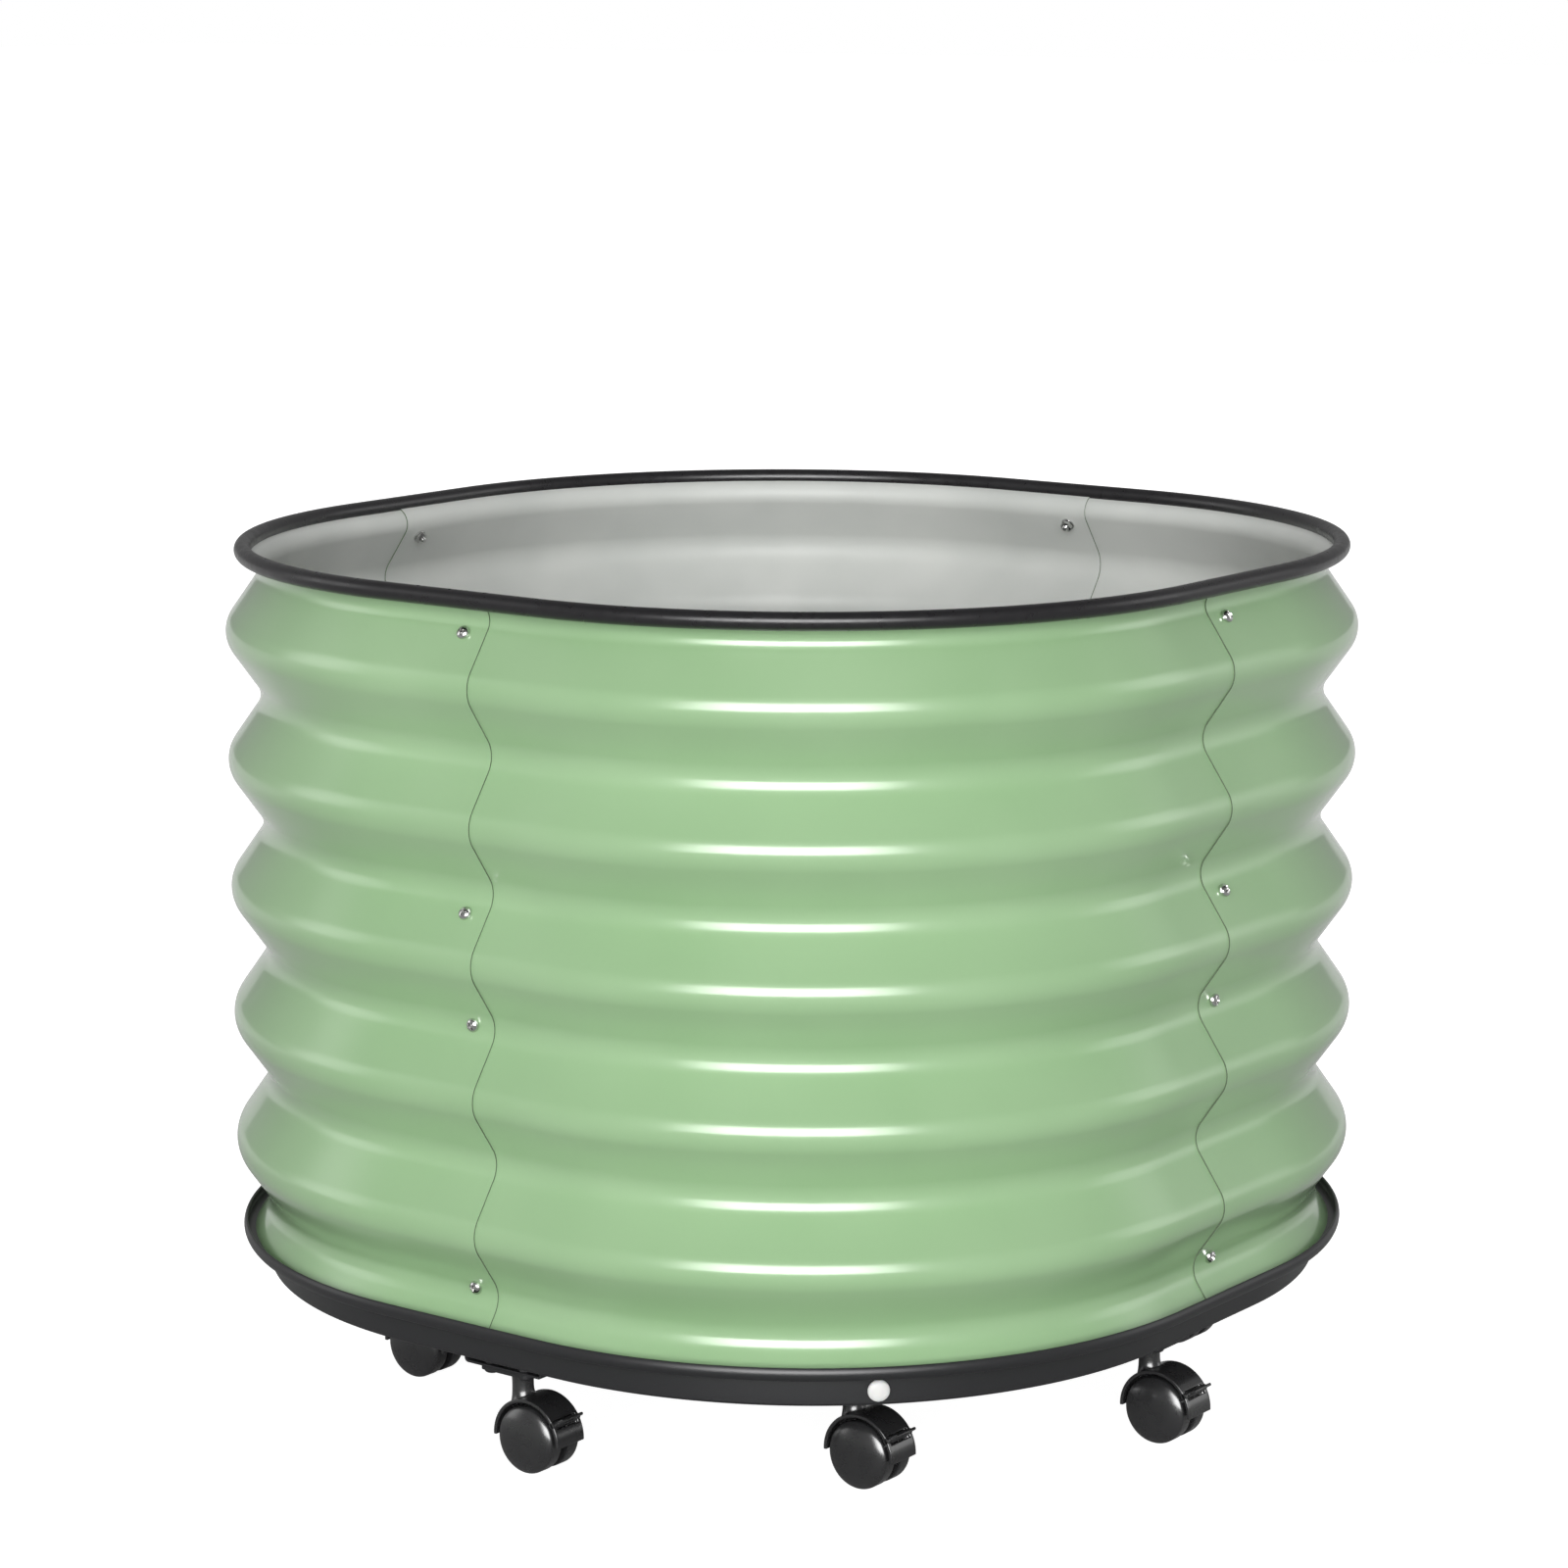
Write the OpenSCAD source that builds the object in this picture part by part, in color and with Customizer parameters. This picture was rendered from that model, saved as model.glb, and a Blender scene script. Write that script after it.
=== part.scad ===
// Rolling planter: a corrugated steel bed on a base tray with twin-wheel casters.
// Millimetres. +Z is up, the floor is Z = 0 and the Z axis runs up the middle of the bed.
// The plan is a square with rounded corners, and the drain plug marks the front corner
// at +X, -Y.

/* [Plan] */
// Width over the wave crests, the same on both sides
side_w = 640; // [600:10:760]
// Plan radius of the rounded corners, measured to the wave crests
corner_r = 266; // [180:2:276]

/* [Wall panels] */
// Height of one full wave
wave_pitch = 78; // [70:1:90]
// Depth from crest to valley
wave_depth = 20; // [14:1:22]
// Number of full crests up the wall
wave_crests = 5; // [4:1:6]
// Bend radius of the crests and valleys, to the middle of the sheet
wave_bend_r = 16.5; // [10:0.5:17]
// Sheet thickness
sheet_t = 0.8; // [0.6:0.1:1.2]
// Bottom edge below the lowest crest, in waves
foot_waves = 0.782; // [0.72:0.001:0.8]
// Bend radius of the last valley under the rim
rim_bend_r = 10; // [8:0.5:12]
// Lean of the rim flare from upright, in degrees
rim_flare_lean = 60; // [45:1:65]
// Length of the straight rim flare
rim_flare_len = 6; // [4:0.5:7]

/* [Seams] */
// How far each panel runs past the bolt line
seam_lap = 15; // [10:1:20]
// Gap between the two lapped sheets
lap_gap = 0.1; // [0.05:0.05:0.3]
// Seam bolt diameter
bolt_d = 4; // [3:0.5:5]
// Seam bolt head diameter
bolt_head_d = 8; // [7.5:0.5:9]
// Seam bolt head height
bolt_head_h = 3.2; // [2.5:0.1:3.6]
// Clearance of a seam bolt in its hole, across the diameter
bolt_hole_play = 0.4; // [0.2:0.1:0.8]
// Top seam bolt above the highest crest, in waves
top_bolt_rise = 0.36; // [0.34:0.01:0.4]
// Second seam bolt below the highest crest, in waves
second_bolt_drop = 1.67; // [1.6:0.01:1.7]
// Third seam bolt below the highest crest, in waves
third_bolt_drop = 2.49; // [2.4:0.01:2.55]
// Bottom seam bolt below the lowest crest, in waves
bottom_bolt_drop = 0.45; // [0.4:0.01:0.5]

/* [Rim trim] */
// Diameter of the rubber bead on the top edge
trim_d = 10.4; // [9.5:0.1:12]
// Clearance between the bead's slot and the sheets
trim_slot_play = 0.15; // [0.1:0.05:0.3]

/* [Base tray] */
// Sheet thickness of the tray
tray_t = 1.5; // [1:0.1:2]
// Height of the ledge that carries the panels, above the tray's underside
tray_depth = 18; // [18:1:30]
// How far the tray wall stands in from the wave crests
tray_wall_inset = 18; // [16:1:30]
// How far the lip's outside stands in from the wave crests
lip_inset = 2; // [0:0.5:2.5]
// Height of the lip above the ledge
lip_rise = 9; // [7:0.5:12]
// How far the middle of the lip bulges out past its edges
lip_bulge = 1.5; // [1:0.1:2]
// Bend radius between the tray wall and its floor
tray_bend_r = 2; // [2:0.5:6]

/* [Drain plug] */
// Diameter of the plug's stem
plug_stem_d = 7; // [5:0.5:8]
// Diameter of the plug's head
plug_head_d = 12.5; // [10.5:0.5:13]
// Thickness of the plug's head
plug_head_t = 3; // [2:0.1:3.5]
// Height of the plug's axis above the tray's underside
plug_rise = 9.2; // [8.4:0.1:9.6]
// Running clearance of the stem in its hole, on the radius
plug_play = 0.05; // [0.02:0.01:0.1]
// Thickness of the rubber gasket under the head
gasket_t = 1; // [0.8:0.1:1.5]

/* [Caster places] */
// Swivel axis in from the wave crests, on the middle of a side
side_caster_inset = 58; // [50:1:80]
// Swivel axis in from the wave crests, in a corner
corner_caster_inset = 104; // [80:1:120]

/* [Caster brackets] */
// Height of a bracket, from the caster plate to the tray
bracket_h = 12; // [11:1:24]
// Width of the bracket's channel, along the side of the bed
bracket_w = 58; // [52:1:80]
// Length of the bracket, across the side of the bed
bracket_len = 36; // [36:1:60]
// Sheet thickness of the bracket
bracket_t = 1.5; // [1.2:0.1:2]
// Width of each flange under the tray
flange_w = 14; // [13:1:20]

/* [Caster plates] */
// Height from the floor to the top of the caster plate
caster_h = 61; // [59:0.5:68]
// Width of the square caster plate
plate_w = 36; // [35:1:36]
// Thickness of the caster plate
plate_t = 2; // [1.8:0.1:3]
// Distance between the screw holes in the plate
plate_hole_gap = 25; // [24:0.5:26]
// Diameter of the caster screws and of the studs under the tray
screw_d = 5; // [4:0.5:5]
// Clearance of a screw or stud in its hole, across the diameter
screw_hole_play = 0.4; // [0.2:0.1:0.8]

/* [Caster swivel] */
// Diameter of the kingpin
kingpin_d = 7; // [5:0.5:7]
// Running clearance of the kingpin in the housing, on the radius
kingpin_play = 0.05; // [0.02:0.01:0.1]
// Diameter of the housing's neck
neck_d = 12.5; // [10.5:0.5:14]
// Thickness of the thrust washer on the neck
thrust_washer_t = 1.8; // [1:0.1:2]
// Running gap between the neck and the thrust washer
swivel_gap = 0.3; // [0.2:0.05:0.5]
// Distance from the swivel axis to the axle
caster_trail = 11.5; // [10:0.5:15]

/* [Caster wheels] */
// Diameter of the wheels
wheel_d = 40; // [38:0.5:42]
// Overall width of the pair of wheels
wheel_pair_w = 33; // [30:0.5:36]
// Height of the domed wheel face
wheel_dome = 3; // [2:0.1:3.5]
// Diameter of the axle
axle_d = 5; // [4:0.5:6]
// Running clearance of the wheels on the axle, on the radius
axle_play = 0.05; // [0.02:0.01:0.1]
// Thickness of the housing's web between the wheels
web_t = 5; // [4:0.5:7]
// Side gap between the web and each wheel
wheel_side_gap = 0.7; // [0.4:0.1:1]
// Gap between the wheels and the hood
hood_gap = 2; // [1.8:0.1:2.5]
// Wall thickness of the hood
hood_t = 2.2; // [1.8:0.1:3]
// Width of the hood
hood_w = 31; // [29:0.5:32]

/* [Caster brakes] */
// Angle of the brake pedal above level, in degrees
pedal_angle = 32; // [25:1:38]
// Reach of the pedal from its pivot
pedal_reach = 7.5; // [6:0.5:9]
// Width of the pedal
pedal_w = 22; // [16:0.5:22]
// Thickness of the pedal
pedal_t = 2; // [1.5:0.1:2.4]
// Diameter of the pedal's pivot pin
pivot_d = 2; // [1.6:0.1:2.4]
// Running clearance of the pivot pin, on the radius
pivot_play = 0.05; // [0.02:0.01:0.1]

/* [Hidden] */
$fn = 96;
SIDES = 4;
CASTERS = 8;
side_half = side_w / 2;
corner_c = side_half - corner_r;
cut = 1;
bend_steps = 6;
snug_play = 0.04;
head_root = 0.5;
head_edge_share = 0.35;

// Heights, from the floor up
axle_z = wheel_d / 2;
plate_z = caster_h - plate_t;
tray_z = caster_h + bracket_h;
ledge_z = tray_z + tray_depth;
low_crest_z = ledge_z + foot_waves * wave_pitch;
high_crest_z = low_crest_z + (wave_crests - 1) * wave_pitch;

// The wave: bends of one radius joined by straight flanks. flank_lean is the lean of the
// flanks from upright, at which two bends and a flank fill half a wave.
bend_span = 2 * wave_bend_r - wave_depth;
flank_lean = asin(2 * wave_bend_r / norm([bend_span, wave_pitch / 2])) - atan2(bend_span, wave_pitch / 2);
bend_rise = wave_bend_r * sin(flank_lean);
crest_x = corner_r - sheet_t / 2;
valley_x = crest_x - wave_depth;
crest_bend_x = crest_x - wave_bend_r;
valley_bend_x = valley_x + wave_bend_r;
lap_step = sheet_t + lap_gap;

// The rim: the last flank runs into a tighter valley and a straight flare.
rim_bend_x = valley_x + rim_bend_r;
rim_flank_drop = wave_depth - wave_bend_r * (1 - cos(flank_lean)) - rim_bend_r * (1 - cos(flank_lean));
rim_bend_z = high_crest_z + bend_rise + rim_flank_drop / tan(flank_lean) + rim_bend_r * sin(flank_lean);
flare_dir = [sin(rim_flare_lean), cos(rim_flare_lean)];
flare_start = [rim_bend_x, rim_bend_z] + rim_bend_r * [-cos(rim_flare_lean), sin(rim_flare_lean)];
flare_end = flare_start + rim_flare_len * flare_dir;

// Seam bolts: a head, a washer and a nut square to the sheets, in the valley bends and on
// the flanks. seat_gap lets the flat underside of a head clear the bend's hollow.
seat_r = wave_bend_r - lap_gap - 1.5 * sheet_t;
seat_play = 0.05;
seat_gap = seat_r - sqrt(seat_r * seat_r - bolt_head_d * bolt_head_d / 4) + seat_play;
bolt_tail = 1.6;
bolt_hole_reach = 4;
washer_gap = 0.1;
washer_d = 2.2 * bolt_d;
washer_t = 1;
nut_h = 3.2;
nut_across = 1.75 * bolt_d;
lap_t = 2 * sheet_t + lap_gap;
bolt_levels = [
    high_crest_z + top_bolt_rise * wave_pitch,
    high_crest_z - second_bolt_drop * wave_pitch,
    high_crest_z - third_bolt_drop * wave_pitch,
    low_crest_z - bottom_bolt_drop * wave_pitch
];

// The tray's lip: a sheet bowed outwards from the ledge up to its top edge
lip_half_h = (lip_rise + tray_t) / 2;
lip_mid_r = (lip_half_h * lip_half_h + lip_bulge * lip_bulge) / (2 * lip_bulge) - tray_t / 2;
lip_lean = asin((lip_half_h - tray_t / 2) / lip_mid_r);
lip_centre = [corner_r - lip_inset - lip_mid_r - tray_t / 2, ledge_z + lip_rise - lip_half_h];

// Drain plug, on the diagonal of the front corner
tray_wall_x = corner_r - tray_wall_inset;
plug_reach = corner_c * sqrt(2) + tray_wall_x;
plug_z = tray_z + plug_rise;
plug_tail = 7;
plug_stem_len = tray_t + gasket_t + plug_tail;
gasket_gap = 0.1;
gasket_d = plug_head_d - 1;

// Casters stand on the sides' middles and in the corners, from the front corner round.
function caster_angle(i) = -45 + i * 360 / CASTERS;
function caster_reach(i) = i % 2 == 0
    ? corner_c * sqrt(2) + corner_r - corner_caster_inset
    : side_half - side_caster_inset;
flange_hole_y = bracket_w / 2 + flange_w / 2;
plate_corner_r = 4;
plate_hole_half = plate_hole_gap / 2;
screw_head_d = 1.8 * screw_d;
screw_head_h = 0.55 * screw_d;
screw_nut_h = 0.8 * screw_d;
screw_nut_across = 1.6 * screw_d;
screw_tail = 2;
king_head_d = kingpin_d + 5;
king_head_h = bracket_t - 0.2;
king_head_play = 1.5;
washer_play = 0.3;
washer_edge = 1;

// Caster housing, wheels and brake, about the swivel axis with the axle towards +X
neck_top_z = plate_z - thrust_washer_t - swivel_gap;
neck_bore_depth = 8.2;
kingpin_end_gap = 0.4;
hood_in_r = wheel_d / 2 + hood_gap;
hood_out_r = hood_in_r + hood_t;
hood_skirt = 1;
axle_boss_r = axle_d / 2 + 5;
axle_end_depth = 0.75;
axle_len = wheel_pair_w - 2 * (wheel_dome + axle_end_depth);
axle_end_gap = 0.3;
wheel_in_y = web_t / 2 + wheel_side_gap;
wheel_rim_y = wheel_pair_w / 2 - wheel_dome;
tread_edge = 1.2;
dome_base_r = wheel_d / 2 - tread_edge;
dome_ball_r = (dome_base_r * dome_base_r + wheel_dome * wheel_dome) / (2 * wheel_dome);
pivot_r = hood_in_r + hood_t / 2;
pivot_boss_d = pivot_d + 3.6;
pivot_pin_len = pedal_w + 4;
lever_hub_d = pivot_d + 2.2;
shoe_len = hood_gap + 0.8;
shoe_t = 1.1;
shoe_angle = 235;
slot_play = 0.4;
slot_below = 4.5;
slot_above = 3.2;

function caster_nodes(i) = [for (part = ["housing", "axle", "wheel_near", "wheel_far", "brake"])
    str("caster_", i + 1, "_", part)];

STEEL_GREEN = "#9fc79a";
TRAY_BLACK = "#2b2b2d";
RUBBER_BLACK = "#262426";
CASTER_BLACK = "#1c1c1d";
PLUG_WHITE = "#ececec";
BRIGHT_STEEL = "#c9ccd0";

// ---- Sections in the plane of radius and height ----

// Points round a bend, from angle a to angle b
function bend_points(centre, r, a, b) = [for (i = [0 : bend_steps])
    let (angle = a + (b - a) * i / bend_steps) centre + r * [cos(angle), sin(angle)]];

// The wave from the foot up to the rim, moved out from the middle of the sheet, square to it
function wave_points(out) = concat(
    [foot_point(valley_centre(0), wave_bend_r - out)],
    [for (k = [0 : wave_crests - 1]) each concat(
        bend_points(valley_centre(k), wave_bend_r - out, 180 + flank_lean, 180 - flank_lean),
        bend_points(crest_centre(k), wave_bend_r + out, -flank_lean, flank_lean))],
    bend_points([rim_bend_x, rim_bend_z], rim_bend_r - out, 180 + flank_lean, 180 - rim_flare_lean),
    [flare_end + out * [cos(rim_flare_lean), -sin(rim_flare_lean)]]
);
function crest_centre(k) = [crest_bend_x, low_crest_z + k * wave_pitch];
function valley_centre(k) = [valley_bend_x, low_crest_z + (k - 0.5) * wave_pitch];

// Where the lowest flank stands on the ledge
function foot_point(bend, r) = [
    bend[0] - r * cos(flank_lean) + (bend[1] - r * sin(flank_lean) - ledge_z) * tan(flank_lean),
    ledge_z
];
function reversed(points) = [for (i = [len(points) - 1 : -1 : 0]) points[i]];

// The wave in section; step moves the sheet out, square to itself
module wave_section(step) {
    polygon(concat(wave_points(step + sheet_t / 2), reversed(wave_points(step - sheet_t / 2))));
}

// Sweeps a section round one corner and along the flats beside it, to the panel's edges
module around_corner(lap) {
    straight = corner_c + lap;
    translate([corner_c, corner_c, 0]) {
        rotate_extrude(angle = 90) children();
        rotate([90, 0, 0]) linear_extrude(straight) children();
        rotate([90, 0, 90]) translate([0, 0, -straight]) linear_extrude(straight) children();
    }
}

// Sweeps a section round the whole plan
module around_plan() {
    for (q = [0 : SIDES - 1]) rotate(90 * q) translate([corner_c, corner_c, 0]) {
        rotate_extrude(angle = 90) children();
        rotate([90, 0, 0]) linear_extrude(2 * corner_c) children();
    }
}

// The plan as a flat shape, inset from the wave crests
module plan_shape(inset) {
    r = corner_r - inset;
    square([2 * (corner_c + r), 2 * corner_c], center = true);
    square([2 * corner_c, 2 * (corner_c + r)], center = true);
    for (x = [-corner_c, corner_c], y = [-corner_c, corner_c]) translate([x, y]) circle(r);
}

module rounded_square(w, r) {
    square([w, w - 2 * r], center = true);
    square([w - 2 * r, w], center = true);
    for (x = [-1, 1], y = [-1, 1]) translate((w / 2 - r) * [x, y]) circle(r);
}

// ---- Seams ----

// Height above or below the nearest valley, on the waves and under the rim
function valley_z(z) = z > high_crest_z ? rim_bend_z
    : low_crest_z - wave_pitch / 2 + wave_pitch * round((z - low_crest_z + wave_pitch / 2) / wave_pitch);
function valley_r(z) = z > high_crest_z ? rim_bend_r : wave_bend_r;
// Lean of the sheet's outward normal above level, inside a valley's bend or on its flank
function seam_lean(z) = -asin(max(-sin(flank_lean), min(sin(flank_lean), (z - valley_z(z)) / valley_r(z))));
function bend_x(z) = valley_x + valley_r(z) * (1 - cos(seam_lean(z)));
function flank_extra(z) = max(0, abs(z - valley_z(z)) - valley_r(z) * sin(flank_lean)) * tan(flank_lean);
function seam_x(z) = corner_c + bend_x(z) + flank_extra(z);

// Sets its children on every seam bolt, with +X out of the sheets and 0 on the inner sheet's middle
module at_seam_bolts() {
    for (q = [0 : SIDES - 1], z = bolt_levels)
        rotate(90 * q) translate([seam_x(z), 0, z]) rotate([0, -seam_lean(z), 0]) children();
}

module x_rod(d, from, to, sides = 96) {
    translate([from, 0, 0]) rotate([0, 90, 0]) cylinder(h = to - from, d = d, $fn = sides);
}

module y_rod(d, from, to) {
    translate([0, to, 0]) rotate([90, 0, 0]) cylinder(h = to - from, d = d);
}

// A pin along +X with a domed head, which stands on the plane X = to
module domed_pin(d, from, to, head_d, head_h) {
    edge_h = head_edge_share * head_h;
    dome_h = head_h - edge_h;
    ball_r = (head_d * head_d / 4 + dome_h * dome_h) / (2 * dome_h);
    rotate([0, 90, 0]) rotate_extrude() {
        translate([0, from]) square([d / 2, to - from + edge_h]);
        translate([0, to]) intersection() {
            translate([0, head_h - ball_r]) circle(ball_r);
            square([head_d / 2, head_h + cut]);
        }
    }
}

// The seam's layers, from the inner sheet's middle
outer_face = sheet_t / 2 + lap_step;
inner_face = -sheet_t / 2;
washer_out = inner_face - washer_gap;
washer_in = washer_out - washer_t;
nut_in = washer_in - nut_h;

// Panels are named for the corner they wrap. The left and right ones lap over the others.
module panel(quarter, outside) {
    color(STEEL_GREEN) difference() {
        rotate(90 * quarter) around_corner(seam_lap) wave_section(outside ? lap_step : 0);
        at_seam_bolts() x_rod(bolt_d + bolt_hole_play, -bolt_hole_reach, bolt_hole_reach);
    }
}

module panel_front() { panel(3, false); }
module panel_right() { panel(0, true); }
module panel_back() { panel(1, false); }
module panel_left() { panel(2, true); }

module seam_bolts() {
    color(BRIGHT_STEEL) at_seam_bolts()
        domed_pin(bolt_d, nut_in - bolt_tail, outer_face + seat_gap, bolt_head_d, bolt_head_h);
}

module seam_washers() {
    color(BRIGHT_STEEL) at_seam_bolts() difference() {
        x_rod(washer_d, washer_in, washer_out);
        x_rod(bolt_d + bolt_hole_play, washer_in - cut, washer_out + cut);
    }
}

module seam_nuts() {
    color(BRIGHT_STEEL) at_seam_bolts() difference() {
        x_rod(nut_across / cos(30), nut_in, washer_in, 6);
        x_rod(bolt_d + snug_play, nut_in - cut, washer_in + cut);
    }
}

// ---- Rim trim ----

// A round bead with a slot that the flared edges of both sheets fill
module trim_section() {
    slot_t = lap_t + 2 * trim_slot_play;
    slot_shift = lap_step / 2 * [cos(rim_flare_lean), -sin(rim_flare_lean)];
    slot_end = flare_end + slot_shift + trim_slot_play * flare_dir;
    difference() {
        translate(flare_end) circle(d = trim_d);
        translate(slot_end) rotate(-90 - rim_flare_lean) translate([0, -slot_t / 2]) square([trim_d, slot_t]);
    }
}

module rim_trim() { color(RUBBER_BLACK) around_plan() trim_section(); }

// ---- Base tray ----

// A quarter bend of sheet, from straight down to straight out
module quarter_bend(centre, r, t) {
    translate(centre) intersection() {
        difference() {
            circle(r + t / 2);
            circle(r - t / 2);
        }
        translate([0, -r - t]) square(r + t);
    }
}

// The lip: a bowed strip of the sheet with round edges
module lip_section() {
    intersection() {
        translate(lip_centre) difference() {
            circle(lip_mid_r + tray_t / 2);
            circle(lip_mid_r - tray_t / 2);
        }
        polygon([for (side = [0, -1, 1])
            lip_centre + 2 * abs(side) * lip_mid_r * [cos(lip_lean), side * sin(lip_lean)]]);
    }
    for (side = [-1, 1])
        translate(lip_centre + lip_mid_r * [cos(lip_lean), side * sin(lip_lean)]) circle(d = tray_t);
}

module tray_section() {
    bend = [tray_wall_x - tray_bend_r, tray_z + tray_bend_r];
    ledge_from = tray_wall_x - tray_t;
    lip_foot_x = lip_centre[0] + lip_mid_r * cos(lip_lean);
    lip_section();
    translate([ledge_from, ledge_z - tray_t]) square([lip_foot_x - ledge_from, tray_t]);
    translate([ledge_from, bend[1]]) square([tray_t, ledge_z - bend[1]]);
    quarter_bend(bend, tray_bend_r - tray_t / 2, tray_t);
    translate([bend[0] - tray_bend_r, tray_z]) square([tray_bend_r, tray_t]);
}

module base_tray() {
    floor_inset = tray_wall_inset + 1.5 * tray_bend_r;
    color(TRAY_BLACK) difference() {
        union() {
            around_plan() tray_section();
            translate([0, 0, tray_z]) linear_extrude(tray_t) plan_shape(floor_inset);
        }
        at_plug() x_rod(plug_stem_d + 2 * plug_play, -2 * tray_t, tray_t);
    }
}

// ---- Drain plug ----

// Sets its children on the plug's axis, with +X outwards and 0 on the tray wall's outside
module at_plug() {
    rotate(-45) translate([plug_reach, 0, plug_z]) children();
}

module drain_plug() {
    head_from = gasket_gap + gasket_t;
    color(PLUG_WHITE) at_plug()
        domed_pin(plug_stem_d, head_from - plug_stem_len, head_from, plug_head_d, plug_head_t);
}

module plug_gasket() {
    color(RUBBER_BLACK) at_plug() difference() {
        x_rod(gasket_d, gasket_gap, gasket_gap + gasket_t);
        x_rod(plug_stem_d + 2 * plug_play, gasket_gap - cut, gasket_gap + gasket_t + cut);
    }
}

// ---- Brackets and caster plates ----

// Sets its children on each swivel axis, with +X outwards
module at_brackets() {
    for (i = [0 : CASTERS - 1]) rotate(caster_angle(i)) translate([caster_reach(i), 0, 0]) children();
}

module at_flange_holes() {
    for (y = [-flange_hole_y, flange_hole_y]) translate([0, y, 0]) children();
}

module at_plate_holes() {
    for (x = [-plate_hole_half, plate_hole_half], y = [-plate_hole_half, plate_hole_half])
        translate([x, y, 0]) children();
}

module channel_section() {
    half = bracket_w / 2;
    translate([-half, 0]) square([bracket_w, bracket_t]);
    for (side = [-1, 1]) {
        translate([side * (half - bracket_t / 2) - bracket_t / 2, 0]) square([bracket_t, bracket_h]);
        translate([side * (half + flange_w / 2) - flange_w / 2 - bracket_t / 2, bracket_h - bracket_t])
            square([flange_w + bracket_t, bracket_t]);
    }
}

module caster_brackets() {
    color(TRAY_BLACK) at_brackets() difference() {
        translate([-bracket_len / 2, 0, caster_h]) rotate([90, 0, 90])
            linear_extrude(bracket_len) channel_section();
        at_flange_holes() translate([0, 0, tray_z - bracket_t - cut])
            cylinder(h = bracket_t + 2 * cut, d = screw_d + screw_hole_play);
        at_plate_holes() translate([0, 0, caster_h - cut])
            cylinder(h = bracket_t + 2 * cut, d = screw_d + screw_hole_play);
        translate([0, 0, caster_h - cut]) cylinder(h = bracket_t + 2 * cut, d = king_head_d + king_head_play);
    }
}

module hex_nut() {
    difference() {
        cylinder(h = screw_nut_h, d = screw_nut_across / cos(30), $fn = 6);
        translate([0, 0, -cut]) cylinder(h = screw_nut_h + 2 * cut, d = screw_d + snug_play);
    }
}

// Studs welded under the tray carry the brackets, so that its floor has no holes
module bracket_studs() {
    grip = bracket_t + screw_nut_h + screw_tail;
    color(TRAY_BLACK) at_brackets() at_flange_holes()
        translate([0, 0, tray_z - grip]) cylinder(h = grip, d = screw_d);
}

module bracket_nuts() {
    color(TRAY_BLACK) at_brackets() at_flange_holes()
        translate([0, 0, tray_z - bracket_t - screw_nut_h]) hex_nut();
}

module caster_plates() {
    color(CASTER_BLACK) at_brackets() difference() {
        translate([0, 0, plate_z]) linear_extrude(plate_t) rounded_square(plate_w, plate_corner_r);
        at_plate_holes() translate([0, 0, plate_z - cut])
            cylinder(h = plate_t + 2 * cut, d = screw_d + screw_hole_play);
        translate([0, 0, plate_z - cut]) cylinder(h = plate_t + 2 * cut, d = kingpin_d + snug_play);
    }
}

module plate_screws() {
    grip = plate_t + bracket_t + screw_nut_h + screw_tail;
    color(TRAY_BLACK) at_brackets() at_plate_holes() translate([0, 0, plate_z]) {
        translate([0, 0, -head_root]) cylinder(h = grip + head_root, d = screw_d);
        translate([0, 0, -screw_head_h]) cylinder(h = screw_head_h, d = screw_head_d);
    }
}

module plate_nuts() {
    color(TRAY_BLACK) at_brackets() at_plate_holes()
        translate([0, 0, caster_h + bracket_t]) hex_nut();
}

// The kingpin is riveted through the plate, with its head in the bracket's middle hole
module kingpins() {
    from = neck_top_z - neck_bore_depth + kingpin_end_gap;
    color(BRIGHT_STEEL) at_brackets() {
        translate([0, 0, from]) cylinder(h = caster_h + king_head_h - from, d = kingpin_d);
        translate([0, 0, caster_h]) cylinder(h = king_head_h, d = king_head_d);
    }
}

module thrust_washers() {
    color(BRIGHT_STEEL) at_brackets() difference() {
        translate([0, 0, plate_z - thrust_washer_t]) cylinder(h = thrust_washer_t, d = neck_d + washer_edge);
        translate([0, 0, plate_z - thrust_washer_t - cut])
            cylinder(h = thrust_washer_t + 2 * cut, d = kingpin_d + washer_play);
    }
}

// ---- Casters ----

// Sets its children on one swivel axis, unturned, so that all casters trail towards +X
module at_caster(i) {
    a = caster_angle(i);
    translate(caster_reach(i) * [cos(a), sin(a), 0]) children();
}

module at_axle() { translate([caster_trail, 0, axle_z]) children(); }

// Sets its children on the brake's pivot, with +X away from the axle
module at_pivot() {
    at_axle() rotate([0, -pedal_angle, 0]) translate([pivot_r, 0, 0]) children();
}

// The upper half of a drum about the axle, with a skirt a little below it
module above_axle(r) {
    translate([-r, -hood_w, -hood_skirt]) cube([2 * r, 2 * hood_w, r + hood_skirt]);
}

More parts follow.
